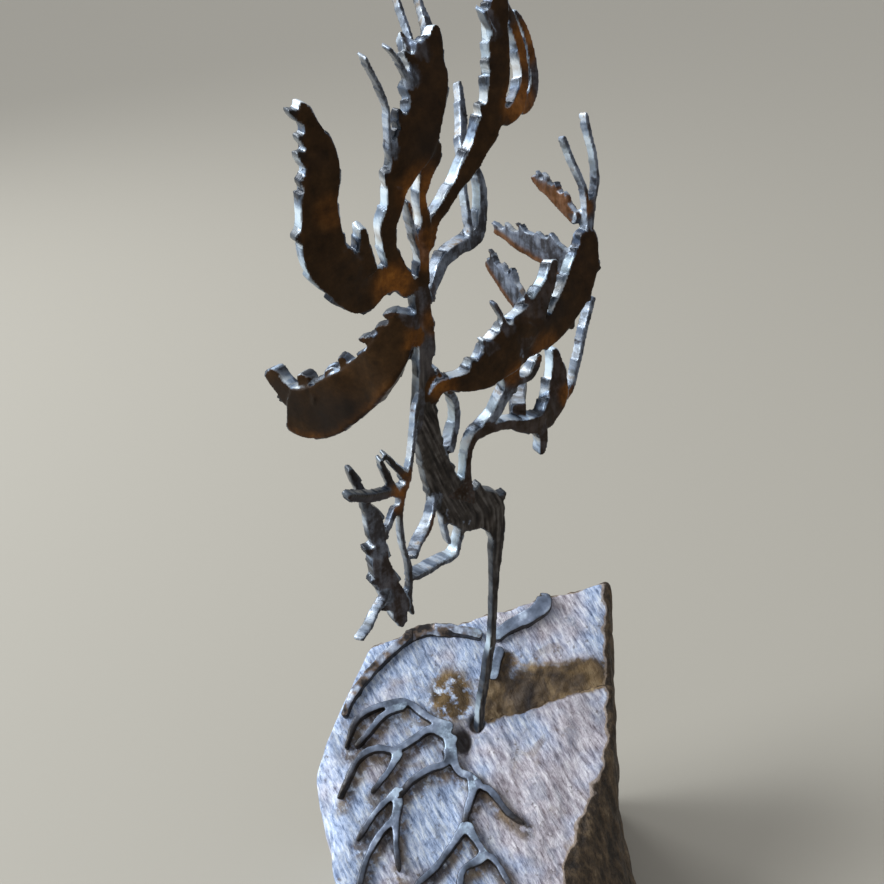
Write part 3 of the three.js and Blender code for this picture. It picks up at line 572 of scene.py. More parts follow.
def on_plate(rows):
    """Places in space of rows of [along, height, forward]."""
    rows = np.asarray(rows)
    level = np.outer(rows[:, 0], PLATE_ALONG)
    return FOOT + level + np.outer(rows[:, 1], UP) + np.outer(rows[:, 2], PLATE_FACING)


def edge_wander(travelled, seed):
    """How far a hand-held torch strays from the line along a cut edge."""
    return np.array([0.42 * noise.noise((s / 5.5, seed, 0)) + 0.22 * noise.noise((s / 2.1, seed, 7))
                     for s in travelled])


def limb_facings(points, turned):
    """The way a limb's face looks at each point, level and square to the limb if it is turned."""
    if not turned:
        return np.tile(PLATE_FACING, (len(points), 1))
    way = np.gradient(points, axis=0)
    level = unit(np.column_stack([way[:, 1], -way[:, 0], np.zeros(len(points))]))
    return level * np.where(level @ PLATE_FACING < 0, -1.0, 1.0)[:, None]


def limb_strip(name, rows, seed):
    run = smooth_run(rows, LIMB_STEP)
    points = on_plate(run)
    facings = limb_facings(points, name in TURNED_LIMBS)
    travelled = distance_along(points)
    widths = np.maximum(run[:, 3], LEAST_WIDTH)
    slender = np.clip(widths / 6, 0.35, 1.0)
    left = edge_wander(travelled, seed) * slender
    right = edge_wander(travelled, seed + 31.7) * slender
    across, normal = limb_frames(points, facings)
    points = points + across * ((right - left) / 2)[:, None]
    widths = widths + left + right
    thicknesses = run[:, 4] * THINNED_LIMBS.get(name, 1.0) * PLATE_THICKNESS
    return Strip(points, widths, thicknesses, across, normal, travelled)


def tooth_strip(tooth, index):
    """A tooth stands on the edge of its limb and lies in its face."""
    name = tooth.limb
    rows = whole_rows(LIMBS[name])
    places = on_plate(rows)
    facings = limb_facings(places, name in TURNED_LIMBS)
    share = index / (tooth.count - 1) if tooth.count > 1 else 0
    place = (tooth.start + (tooth.end - tooth.start) * share) * (len(rows) - 1)
    i = min(int(place), len(rows) - 2)
    part = place - i
    along = unit(places[i + 1] - places[i])
    normal = facings[i] * (1 - part) + facings[i + 1] * part
    normal = unit(normal - along * (normal @ along))
    outward = np.cross(normal, along) * tooth.side
    reach = tooth.reach * TOOTH_RHYTHM[index % len(TOOTH_RHYTHM)]
    half_limb = (rows[i][3] * (1 - part) + rows[i + 1][3] * part) / 2
    width = tooth.width
    root = places[i] * (1 - part) + places[i + 1] * part + outward * (half_limb - width / 2)
    lean = outward * math.cos(tooth.lean) + along * math.sin(tooth.lean)
    steps = np.linspace(0, 1, TOOTH_STEPS)
    points = root + np.outer(steps, lean) * (reach + width / 2)
    bend = outward * 0.12 * reach
    points = points + np.outer(steps * (1 - steps), bend) * 4
    widths = width * (1 - (1 - TOOTH_TIP_SHARE) * steps ** 1.4)
    thicknesses = THINNED_LIMBS.get(name, 1.0) * PLATE_THICKNESS * 0.98 * (1 - 0.25 * steps ** 2)
    across, normals = limb_frames(points, np.tile(normal, (TOOTH_STEPS, 1)))
    travelled = steps * (reach + width / 2)
    return Strip(points, widths, thicknesses, across, normals, travelled)


def spots_at(along, height, spots):
    total = np.zeros(len(along))
    for x, z, reach, strength in spots:
        away = np.hypot(along - x, height - z) / reach
        total = np.maximum(total, strength * (1 - smooth(0.4, 1.25, away)))
    return total


class Samples:
    """Places over every limb that tell a point of the skin where on the plate it is."""

    def __init__(self):
        self.rows = []
        self.strips = 0

    def add(self, name, strip, is_tooth=False):
        points, widths, _, across, normal, travelled = strip
        heat, grey = LIMB_TINTS.get(name, (0.2, 0.2))
        bark = BARK_LIMBS.get(name, 0.0)
        buried = TURNED_START if name in TURNED_LIMBS else 0.0
        self.strips += 1
        start = SEED_STEP * self.strips
        for i, point in enumerate(points):
            if travelled[i] < buried:
                continue
            steps = max(int(widths[i] / 2), 1)
            for k in range(steps + 1):
                u = (k / steps - 0.5) * widths[i] * 0.9
                self.rows.append([*(point + across[i] * u), *across[i], *normal[i], u, widths[i] / 2,
                                  start + travelled[i], heat, grey, bark,
                                  is_tooth * travelled[i] / travelled[-1], name in LOW_RIMMED])

    def nearest(self, points):
        """What the nearest place tells of each point; u is how far across the limb it is."""
        chosen = nearest_rows(np.array(self.rows), points)
        place, across, facing = chosen[:, :3], chosen[:, 3:6], chosen[:, 6:9]
        where = dict(zip(("u", "half", "s", "heat", "grey", "bark", "tip", "low"), chosen[:, 9:].T))
        where["u"] = where["u"] + np.sum((points - place) * across, axis=1)
        where["facing"] = facing
        return where


def bead_at(travelled, sides):
    """Beads between the torch's stops along a cut: how far each has swelled, and its dark end."""
    cell = np.floor(travelled / BEAD_LENGTH)
    before = np.full(len(travelled), -99.0)
    after = np.full(len(travelled), 99.0)
    for step in (-2, -1, 0, 1, 2):
        stop = (cell + step + 0.36 * np.sin((cell + step) * 12.99 + sides * 7.8)) * BEAD_LENGTH
        gap = stop - travelled
        after = np.where(gap > 0, np.minimum(after, gap), after)
        before = np.where(gap <= 0, np.maximum(before, gap), before)
    phase = -before / (after - before)
    swell = phase ** 1.6
    dark = np.maximum(smooth(0.4, 1.0, phase), 1 - smooth(0.0, 0.07, phase))
    return swell, dark


def bark_grooves(along, height):
    """Grooves that run down the trunk, over the knee and down the stem."""
    slant = along + TRUNK_LEAN * (np.clip(height, *LEANING) - LEANING[0])
    slant = slant + 0.5 * np.sin(height / 9.0)
    flat = np.zeros(len(along))
    grooves = noise_at(np.column_stack([slant / 1.25, height / 13, flat]), 1.0)
    grooves += 0.7 * noise_at(np.column_stack([slant / 0.62, height / 6, flat + 5]), 1.0)
    return grooves


def make_tree():
    samples = Samples()
    strips = []
    for number, (name, rows) in enumerate(LIMBS.items()):
        strip = limb_strip(name, rows, number * 3.7)
        samples.add(name, strip)
        strips.append(sweep(strip.points, strip.widths, strip.thicknesses, strip.normal))
    for tooth in TORCH_TEETH:
        for index in range(tooth.count):
            strip = tooth_strip(tooth, index)
            samples.add(tooth.limb, strip, True)
            strips.append(sweep(strip.points, strip.widths, strip.thicknesses, strip.normal))
    piece = fused("tree_cut_plate", strips, TREE_VOXEL, 2)
    points = points_of(piece)
    normals = normals_of(piece)
    where = samples.nearest(points)
    facing = np.abs(np.sum(normals * where["facing"], axis=1))
    facing = np.maximum(facing, np.abs(normals @ PLATE_FACING))
    cut = 1 - smooth(*FACE_TURN, facing)
    along = (points - FOOT) @ PLATE_ALONG
    height = points[:, 2] - FOOT[2]
    bark = where["bark"] * (1 - smooth(*BARK_FADE, height))
    grooves = bark_grooves(along, height) + 0.4 * noise_at(points, 2.2, 14.1)
    swell, dark = bead_at(where["s"], np.sign(where["u"]))
    # Painted highlights: bright patches on the cut edges, kept off the teeth
    shine = spots_at(along, height, PAINTED_HIGHLIGHT_SPOTS) * (where["tip"] < 0.1)
    swing = np.clip(where["half"] / 3.4, 0.3, 1.25)
    swing *= np.where((where["u"] > 0) != (where["low"] > 0), 1.0, 0.35)
    ripple = BEAD_HEIGHT * (swell - 0.45) * swing * (1 - 0.6 * shine)
    ripple += 0.14 * noise_at(points, 3.4, 11.3)
    hammer = 0.16 * noise_at(points, 5.5, 3.1) + 0.07 * noise_at(points, 2.0, 9.7)
    push = cut * ripple * (1 - 0.85 * bark) + (1 - cut) * hammer
    stem = (1 - smooth(*STEM_END, height)) * (where["bark"] > 0.9)
    push += bark * (0.22 * grooves - 0.1) * (0.4 + 0.6 * (1 - cut))
    move_points(piece, points + normals * push[:, None])
    dark *= np.clip(where["half"] / 2.6, 0.35, 1) * (1 - 0.7 * shine)
    # Dark scale on the cut edges, and painted shade on edges that face down
    soot = np.maximum.reduce([
        0.8 * smooth(-0.1, 0.5, -normals[:, 2]), 0.85 * bark * (1 - stem), 0.9 * stem,
        spots_at(along, height, SOOT_SPOTS), 0.9 * smooth(0.3, 0.85, where["tip"])])
    # Painted shade on the faces, also darkening the tooth tips
    shade = np.maximum(spots_at(along, height, PAINTED_SHADE_SPOTS), smooth(0.3, 0.9, where["tip"]))
    glow = spots_at(along, height, HEAT_SPOTS) * (1 - 0.6 * bark)
    rim_glow = 0.55 * where["low"] * smooth(5.0, 1.0, where["half"] - where["u"])
    rim_glow *= np.where(height < LOW_LEAF_TOP, smooth(*LOW_GLOW_FADE, height), 1.0)
    rough = np.maximum(bark, stem)
    keep_values(piece, cut=cut, run=where["s"], stop=dark * cut, soot=soot * (1 - shine),
                shine=shine, shade=shade, rim=np.clip(where["half"] - np.abs(where["u"]), 0, 12),
                heat=where["heat"] * (1 - stem), glow=np.maximum(glow, rim_glow),
                grey=np.maximum(where["grey"], 0.75 * stem), bark=rough, groove=grooves * rough)
    run_modifier(piece, "DECIMATE", ratio=KEPT_SHARE)
    smooth_shaded(piece)
    return piece


# Roots

# Ways over the plan of the rock, from each thick end to its tip
FRONT_ROOTS = {
    "a": [[-15, -6], [-18, -4], [-25, 0], [-33, 5], [-40, 5], [-50, 3], [-57, -1], [-61, -11]],
    "aInner": [[-35, 5], [-45, 0], [-52, -7], [-57, -11]],
    "b": [[-15, -7], [-24, -5], [-31, -8], [-40, -12], [-47, -12], [-53, -14], [-57, -18], [-63, -29]],
    "bInner": [[-38, -12], [-42, -19], [-50, -28]],
    "c": [[-15, -7], [-16, -13], [-18, -17], [-26, -20], [-34, -25], [-38, -30]],
    "c1": [[-37, -27], [-44, -31], [-50, -36.5], [-56, -44]],
    "c2": [[-38, -29], [-40, -37], [-46, -42], [-52, -50], [-55, -59], [-57, -66]],
    "c3": [[-38, -30], [-39, -40], [-39, -47], [-38, -55]],
    "d": [[-16, -11], [-12, -19], [-6, -22], [-2, -26], [2, -28], [9, -35], [16, -40]],
    "e": [[-4, -23], [-6, -29], [-9, -36], [-9, -39]],
    "e1": [[-9, -39], [-15, -46], [-22, -53], [-30, -58], [-37, -65]],
    "e2": [[-9, -39], [-6, -44], [-2, -49], [2, -51], [7, -58], [10, -65]],
    "e3": [[-2, -48], [-4, -51], [-11, -55], [-13, -61], [-15, -68]],
}
THICK_ROOTS = {"a", "b", "c", "d", "e"}
# Width at a root's start and how much its web adds there, as shares of ROOT_WIDTH
THICK_START = (0.74, 0.75)
THIN_START = (0.62, 0.4)
SPRAY_END = 0.48
WEB_REACH = 5.0
RIDGE_ROOT_LEFT = [[1, 31], [-10, 33], [-22, 33], [-32, 30], [-42, 24], [-51, 17], [-58, 9], [-62, 1]]
RIDGE_ROOT_RIGHT = [[6, 30], [14, 34], [23, 37], [29, 41], [32, 46]]
RIDGE_PEG = [[4.5, 15], [7, 20.5], [9.5, 26.5]]


def surface_normals(x, y, step=4.0):
    slope_x = (surface_height(x + step, y) - surface_height(x - step, y)) / (2 * step)
    slope_y = (surface_height(x, y + step) - surface_height(x, y - step)) / (2 * step)
    return unit(np.column_stack([-slope_x, -slope_y, np.ones(len(x))]))


def root_strip(way, start_width, end_width, web, seed):
    """A root's strip; web is how much wider it starts, where it spreads from another."""
    rows = np.array([[x, y, 0.0] for x, y in way])
    x, y = smooth_run(rows, ROOT_STEP)[:, :2].T
    normals = surface_normals(x, y)
    points = np.column_stack([x, y, surface_height(x, y)])
    points += normals * (ROOT_THICKNESS - ROOT_SINK) / 2
    share = np.linspace(0, 1, len(points))
    travelled = distance_along(points)
    wander = np.array([0.8 * noise.noise((s / 5, seed, 3)) for s in travelled])
    widths = start_width + (end_width - start_width) * share + wander
    joint = np.exp(-(travelled / WEB_REACH) ** 2)
    widths += web * joint
    widths *= 1 - 0.35 * smooth(0.85, 1.0, share)
    thicknesses = np.full(len(points), ROOT_THICKNESS + ROOT_SINK)
    thicknesses -= 1.2 * smooth(0.75, 1.0, share)
    return points, widths, thicknesses, normals, share, joint


def make_roots(name, ways, tapered, banded):
    """Roots fused into one piece, each with its way, its widths at both ends and its web.

    Widths and web are shares of ROOT_WIDTH. Tapered roots darken to their tips, and banded ones
    have burnt bands.
    """
    strips = []
    marks = []
    for k, (way, *shares) in enumerate(ways):
        start, end, web = (part * ROOT_WIDTH for part in shares)
        points, widths, thicknesses, normals, share, joint = root_strip(way, start, end, web, k * 2.3)
        strips.append(sweep(points, widths, thicknesses, normals))
        marks.append(np.column_stack([points, share * tapered, joint]))
    piece = fused(name, strips, ROOT_VOXEL, 3)
    points = points_of(piece)
    normals = normals_of(piece)
    push = 0.2 * noise_at(points, 3.0, 2.2) + 0.1 * noise_at(points, 1.4, 5.5)
    push += banded * 0.35 * noise_at(points, 4.0, 8.8)
    move_points(piece, points + normals * push[:, None])
    tips, joints = nearest_rows(np.vstack(marks), points)[:, 3:].T
    top = normals_of(piece) @ MAIN_OUT
    # cut marks the roots' sides, which the material darkens as painted shade
    keep_values(piece, cut=1 - smooth(0.4, 0.85, top), tip=tips, joint=joints,
                banded=np.full(len(points), float(banded)))
    smooth_shaded(piece)
    return piece


# Fine rock

GRAIN_WAY = unit(np.array([0.5, -0.79, -0.53]))
GRAIN_ACROSS = unit(np.cross(GRAIN_WAY, MAIN_FACE[0]))
GRAIN_OUT = np.cross(GRAIN_ACROSS, GRAIN_WAY)


def in_grain(points, along, across, out):
    """Points measured in the stone's grain, each way divided by its own length."""
    return np.column_stack([points @ GRAIN_WAY / along, points @ GRAIN_ACROSS / across,
                            points @ GRAIN_OUT / out])


def cube_ball(size):
    """Unit directions over a cube pressed into a ball, and its faces."""
    verts = {}
    faces = []
    points = []

    def corner(p):
        key = tuple(p)
        if key not in verts:
            verts[key] = len(points)
            points.append(p)
        return verts[key]

    for axis in range(3):
        for sign in (-1, 1):
            u_axis, v_axis = (axis + 1) % 3, (axis + 2) % 3
            grid = []
            for i in range(size + 1):
                line = []
                for j in range(size + 1):
                    p = [0, 0, 0]
                    p[axis] = sign * size
                    p[u_axis] = 2 * i - size
                    p[v_axis] = 2 * j - size
                    line.append(corner(p))
                grid.append(line)
            for i in range(size):
                for j in range(size):
                    quad = [grid[i][j], grid[i + 1][j], grid[i + 1][j + 1], grid[i][j + 1]]
                    faces.append(quad if sign > 0 else quad[::-1])
    angles = np.array(points) / size * (math.pi / 4)
    return unit(np.tan(angles)), faces


def rim_distance(points):
    """How far places lie inside the rock's right-hand faces."""
    nearest = np.full(len(points), FAR_AWAY)
    for index in RIGHT_FACES:
        out, at = face_plane(ROCK_FACES[index])
        nearest = np.minimum(nearest, (at - points) @ out)
    return nearest


def make_rock():
    directions, faces = cube_ball(ROCK_CELLS)
    piece = mesh_object("rock_block", CORE + directions * rock_radius(directions)[:, None], faces)
    run_modifier(piece, "SMOOTH", factor=0.5, iterations=3)
    points = points_of(piece)
    normals = normals_of(piece)
    lift = points[:, 2]
    # The right side and back: weathered layers, darkened also as painted shade
    side = smooth(0.34, 0.5, normals[:, 0] + 0.1 * noise_at(points, 11.0, 4.4))
    side *= smooth(12, 28, points[:, 0])
    from_rim = rim_distance(points) + 2.6 * noise_at(points, 7.0, 3.3)
    side = np.maximum(side, 1 - smooth(1.0, 5.0, from_rim))
    back = smooth(0.1, 0.5, normals[:, 1])
    on_main = (1 - side) * (1 - back) * smooth(0.35, 0.7, normals @ MAIN_OUT)
    # The crevice: rust together with painted shade under its overhang
    crevice = smooth(-3.0, 2.5, above_line(points, CREVICE_FOOT))
    crevice *= 1 - smooth(0.5, 8.0, above_line(points, CREVICE_ROOF))
    crevice *= smooth(-0.04 * ROCK_WIDTH, 0.03 * ROCK_WIDTH, points[:, 0])
    by_peg = np.linalg.norm(points[:, :2] - PEG_RUST_AT, axis=1)
    crevice = np.maximum(crevice, 0.8 * (1 - smooth(3.0, 9.0, by_peg)))
    crevice *= 1 - side
    grain = noise_at(in_grain(points, 14, 2.2, 6), 1.0)
    grain += 0.5 * noise_at(in_grain(points, 9, 1.4, 4), 1.0, 8.0)
    layers = noise_at(points / [4.2, 4.6, 22], 1.0, 2.0)
    layers += 0.6 * noise_at(points / [2.3, 2.6, 13], 1.0, 6.0)
    lumps = noise_at(points, 17.0, 1.7) + 0.5 * noise_at(points, 7.0, 6.1)
    crumbs = noise_at(points, 3.6, 12.0) + 0.6 * noise_at(points, 1.8, 15.0)
    push = 0.5 * lumps + 0.30 * grain * on_main + (0.9 * layers) * np.maximum(side, back)
    push += crevice * crumbs + 0.15 * crumbs
    # A hollow under the roots' meeting point, and a dip round the stem's foot
    hollow = np.linalg.norm((points[:, :2] - HOLLOW_AT) / HOLLOW_RADII, axis=1)
    hollow_depth = HOLLOW_DEPTH * (1 - smooth(0.35, 1.15, hollow)) * (lift > UPPER_FACE)
    foot_gap = np.linalg.norm(points[:, :2] - FOOT[:2] - FOOT_DIP_SHIFT, axis=1)
    socket = FOOT_DIP * (1 - smooth(2.0, 4.5, foot_gap)) * (lift > UPPER_FACE)
    push -= hollow_depth + socket
    push *= smooth(0.5, 4.0, lift)
    new_points = points + normals * push[:, None]
    new_points[:, 2] = np.maximum(new_points[:, 2], 0)
    move_points(piece, new_points)
    warmth = 0.22 * smooth(-20, 50, points[:, 0] - 0.5 * points[:, 1]) - 0.08
    # hollow holds painted shade for the hollow and the dip round the stem's foot
    keep_values(piece, side=np.clip(side + 0.8 * back, 0, 1), crevice=crevice,
                hollow=np.clip(hollow_depth / 4 + socket / 3, 0, 1), grain=grain, layers=layers,
                stain=stain_at(points), warmth=warmth)
    smooth_shaded(piece)
    return piece


def stain_at(points):
    """How rusty the stone is beside the roots, strongest behind their meeting point."""
    reach = np.zeros(len(points))
    for way in FRONT_ROOTS.values():
        line = smooth_run(np.array([[x, y, 0.0] for x, y in way]), 2.0)[:, :2] + [0.8, -2.2]
        away = np.min(np.linalg.norm(points[:, None, :2] - line[None, :, :], axis=2), axis=1)
        reach = np.maximum(reach, 1 - smooth(1.5, 5.0, away))
    patch = np.linalg.norm((points[:, :2] - RUST_PATCH_AT) / RUST_PATCH_RADII, axis=1)
    patch = 1 - smooth(0.5, 1.3, patch)
    return np.clip(0.8 * reach + 1.2 * patch, 0, 1) * (points[:, 2] > 20)


# Materials

class Nodes:
    """A new material and short ways to make its nodes."""

    def __init__(self, name):
        self.material = bpy.data.materials.new(name)
        self.material.use_nodes = True
        self.tree = self.material.node_tree
        self.tree.nodes.clear()
        output = self.tree.nodes.new("ShaderNodeOutputMaterial")
        self.shader = self.tree.nodes.new("ShaderNodeBsdfPrincipled")
        self.link(self.shader.outputs[0], output.inputs[0])

    def link(self, source, target):
        self.tree.links.new(source, target)

    def put(self, target, value):
        if isinstance(value, bpy.types.NodeSocket):
            self.link(value, target)
        else:
            target.default_value = value

    def set(self, name, value):
        self.put(self.shader.inputs[name], value)

    def value(self, name):
        """The number of this name that the mesh keeps at every point."""
        node = self.tree.nodes.new("ShaderNodeAttribute")
        node.attribute_name = name
        return node.outputs["Fac"]

    def place(self):
        return self.tree.nodes.new("ShaderNodeTexCoord").outputs["Object"]

    def mapped(self, scale, turn=(0, 0, 0)):
        node = self.tree.nodes.new("ShaderNodeMapping")
        self.link(self.place(), node.inputs["Vector"])
        node.vector_type = "TEXTURE"
        node.inputs["Rotation"].default_value = turn
        node.inputs["Scale"].default_value = [1 / s for s in scale]
        return node.outputs[0]

    def noise(self, scale, detail=3.0, roughness=0.55, vector=None, distortion=0.0):
        node = self.tree.nodes.new("ShaderNodeTexNoise")
        self.link(vector or self.place(), node.inputs["Vector"])
        node.inputs["Scale"].default_value = scale
        node.inputs["Detail"].default_value = detail
        node.inputs["Roughness"].default_value = roughness
        node.inputs["Distortion"].default_value = distortion
        return node.outputs["Fac"]

    def math(self, operation, a, b):
        node = self.tree.nodes.new("ShaderNodeMath")
        node.operation = operation
        self.put(node.inputs[0], a)
        self.put(node.inputs[1], b)
        return node.outputs[0]

    def times(self, a, b):
        return self.math("MULTIPLY", a, b)

    def plus(self, a, b):
        return self.math("ADD", a, b)

    def larger(self, a, b):
        return self.math("MAXIMUM", a, b)

    def centred(self, value, strength):
        """How far a value lies from one half, times the strength."""
        return self.times(self.math("SUBTRACT", value, 0.5), strength)

    def along_run(self, run, density, drift, share):
        """Texture places that run along a cut edge and drift a little from one place to another."""
        node = self.tree.nodes.new("ShaderNodeCombineXYZ")
        self.link(self.times(run, density), node.inputs[0])
        self.link(self.times(drift, share), node.inputs[1])
        return node.outputs[0]

    def span(self, value, low, high, to_low=0.0, to_high=1.0):
        node = self.tree.nodes.new("ShaderNodeMapRange")
        node.interpolation_type = "SMOOTHSTEP"
        for key, part in (("Value", value), ("From Min", low), ("From Max", high),
                          ("To Min", to_low), ("To Max", to_high)):
            self.put(node.inputs[key], part)
        return node.outputs[0]

    def ramp(self, value, *stops):
        """Colours over a value, each stop a position and a colour."""
        node = self.tree.nodes.new("ShaderNodeValToRGB")
        self.link(value, node.inputs[0])
        elements = node.color_ramp.elements
        while len(elements) < len(stops):
            elements.new(0.5)
        for element, (position, *colour) in zip(elements, stops):
            element.position = position
            element.color = (*colour, 1)
        return node.outputs[0]

    def mix(self, share, first, second):
        node = self.tree.nodes.new("ShaderNodeMix")
        node.data_type = "RGBA"
        self.put(node.inputs["Factor"], share)
        for key, colour in ((6, first), (7, second)):
            self.put(node.inputs[key], colour if isinstance(colour, bpy.types.NodeSocket) else (*colour, 1))
        return node.outputs[2]

    def over(self, base, value, low, high, strength, colour):
        """A colour laid over a base as a value goes from low to high."""
        return self.mix(self.span(value, low, high, 0.0, strength), base, colour)

    def bump(self, height, distance, strength=1.0, below=None):
        node = self.tree.nodes.new("ShaderNodeBump")
        node.inputs["Strength"].default_value = strength
        node.inputs["Distance"].default_value = distance
        self.link(height, node.inputs["Height"])
        if below:
            self.link(below, node.inputs["Normal"])
        return node.outputs[0]


def steel_material(name):
    n = Nodes(name)
    cut, run, stop, rim = map(n.value, ("cut", "run", "stop", "rim"))
    heat, grey, bark, groove = map(n.value, ("heat", "grey", "bark", "groove"))
    fine = n.noise(900, 4, 0.6)
    blotch = n.noise(170, 4, 0.65)
    broad = n.noise(45, 3, 0.55)
    streak = n.noise(1.0, 4, 0.6, n.mapped((420, 420, 70)))
    # Faces: blued and browned mill scale, tempered orange in broad clouds and along the rims
    dark = n.ramp(blotch,
        (0.3, 0.016, 0.007, 0.0016), (0.55, 0.034, 0.0155, 0.0045), (0.8, 0.06, 0.028, 0.009))
    clouds = n.span(broad, 0.38, 0.68)
    near_rim = n.span(rim, 4.5, 0.4)
    warmth = n.times(heat, n.larger(clouds, n.times(near_rim, 0.8)))
    glow = n.times(n.value("glow"), n.span(blotch, 0.25, 0.6, 0.5, 1.0))
    warmth = n.larger(warmth, glow)
    tempered = n.plus(n.times(streak, 0.4), n.times(blotch, 0.6))
    orange = n.ramp(tempered,
        (0.3, 0.085, 0.028, 0.004), (0.55, 0.22, 0.078, 0.011), (0.8, 0.44, 0.185, 0.032))
    face = n.mix(warmth, dark, orange)
    scoured = n.ramp(tempered,
        (0.34, 0.012, 0.012, 0.014), (0.46, 0.06, 0.066, 0.08), (0.56, 0.2, 0.235, 0.3),
        (0.66, 0.34, 0.38, 0.44), (0.74, 0.26, 0.145, 0.06))
    face = n.mix(n.times(grey, n.span(glow, 0.05, 0.45, 0.9, 0.1)), face, scoured)
    # Painted shade: faces darkened to near black, and at the tooth tips
    face = n.mix(n.times(n.value("shade"), 0.8), face, (0.010, 0.008, 0.007))
    barked = n.ramp(n.span(groove, -0.8, 1.0),
        (0, 0.01, 0.008, 0.007), (0.5, 0.05, 0.042, 0.036), (1, 0.12, 0.108, 0.1))
    face = n.mix(n.times(bark, 0.9), face, barked)
    # Cut edges: long bright beads, dark at their ends, now and then left in dark scale, and darkened as
    # painted shade where they face down
    stretch = n.noise(1.0, 2, 0.5, n.along_run(run, 0.085, broad, 2.5))
    bright = n.ramp(stretch,
        (0.39, 0.014, 0.019, 0.03), (0.435, 0.08, 0.11, 0.17), (0.475, 0.46, 0.59, 0.77),
        (0.53, 0.8, 0.9, 0.98), (0.66, 0.94, 0.97, 0.98), (0.76, 0.5, 0.4, 0.29))
    ragged = n.plus(stop, n.centred(blotch, 0.7))
    rings = n.noise(1.0, 3, 0.6, n.along_run(run, 0.3, broad, 3.0))
    ring = n.plus(n.times(rings, 0.6), n.times(blotch, 0.4))
    mottled = n.ramp(ring,
        (0.38, 0.02, 0.018, 0.02), (0.44, 0.11, 0.11, 0.125), (0.495, 0.4, 0.46, 0.56),
        (0.56, 0.74, 0.8, 0.88), (0.62, 0.44, 0.3, 0.17), (0.68, 0.1, 0.06, 0.035))
    bright = n.mix(n.times(grey, 0.8), bright, mottled)
    # Painted highlights: pale blue-white on parts of the cut edges
    bright = n.mix(n.times(n.value("shine"), 0.85), bright, (0.72, 0.87, 0.97))
    bright = n.over(bright, ragged, 0.05, 0.55, 0.8, (0.12, 0.16, 0.23))
    bright = n.over(bright, ragged, 0.5, 0.9, 0.95, (0.014, 0.018, 0.027))
    bright = n.mix(n.value("soot"), bright, (0.018, 0.022, 0.030))
    n.set("Base Color", n.mix(cut, face, bright))
    n.set("Metallic", n.span(cut, 0.0, 1.0, 0.1, 0.3))
    n.set("Roughness", n.plus(n.times(fine, 0.12), n.span(cut, 0.0, 1.0, 0.36, 0.24)))
    n.set("Specular IOR Level", n.span(cut, 0.0, 1.0, 0.12, 0.45))
    low = n.bump(blotch, 0.0003, 0.3)
    n.set("Normal", n.bump(fine, 0.00012, 0.4, low))
    return n.material


def root_material(name):
    """Flat satin roots: blue-grey on top with painted highlights where they meet, their sides darkened as
    painted shade, and darker tips.
    """
    n = Nodes(name)
    cut, tip, banded = map(n.value, ("cut", "tip", "banded"))
    fine = n.noise(800, 4, 0.6)
    blotch = n.noise(120, 3, 0.55)
    speck = n.noise(300, 3, 0.6)
    top = n.ramp(blotch,
        (0.3, 0.045, 0.055, 0.075), (0.46, 0.13, 0.16, 0.22), (0.6, 0.23, 0.27, 0.36),
        (0.72, 0.5, 0.58, 0.7))
    painted_side_shade_and_dark_tips = n.ramp(speck,
        (0.35, 0.012, 0.01, 0.009), (0.7, 0.04, 0.03, 0.024))
    bands = n.ramp(blotch,
        (0.36, 0.022, 0.018, 0.018), (0.43, 0.13, 0.09, 0.065), (0.5, 0.2, 0.22, 0.28),
        (0.6, 0.5, 0.56, 0.67), (0.72, 0.26, 0.16, 0.09))
    top = n.mix(banded, top, bands)
    # Painted highlight: pale blue on the tops where the roots meet
    painted_joint_highlight = n.times(n.value("joint"), n.span(speck, 0.4, 0.6, 0.2, 0.9))
    top = n.mix(painted_joint_highlight, top, (0.50, 0.63, 0.76))
    # Painted shade: the sides darken to near black, and the tips darken too
    dark = n.larger(n.span(cut, 0.25, 0.75), n.span(tip, 0.55, 0.95))
    n.set("Base Color", n.mix(dark, top, painted_side_shade_and_dark_tips))
    n.set("Roughness", n.plus(n.times(fine, 0.2), 0.30))
    n.set("Metallic", 0.3)
    low = n.bump(blotch, 0.0004, 0.4)
    n.set("Normal", n.bump(fine, 0.0003, 0.6, low))
    return n.material


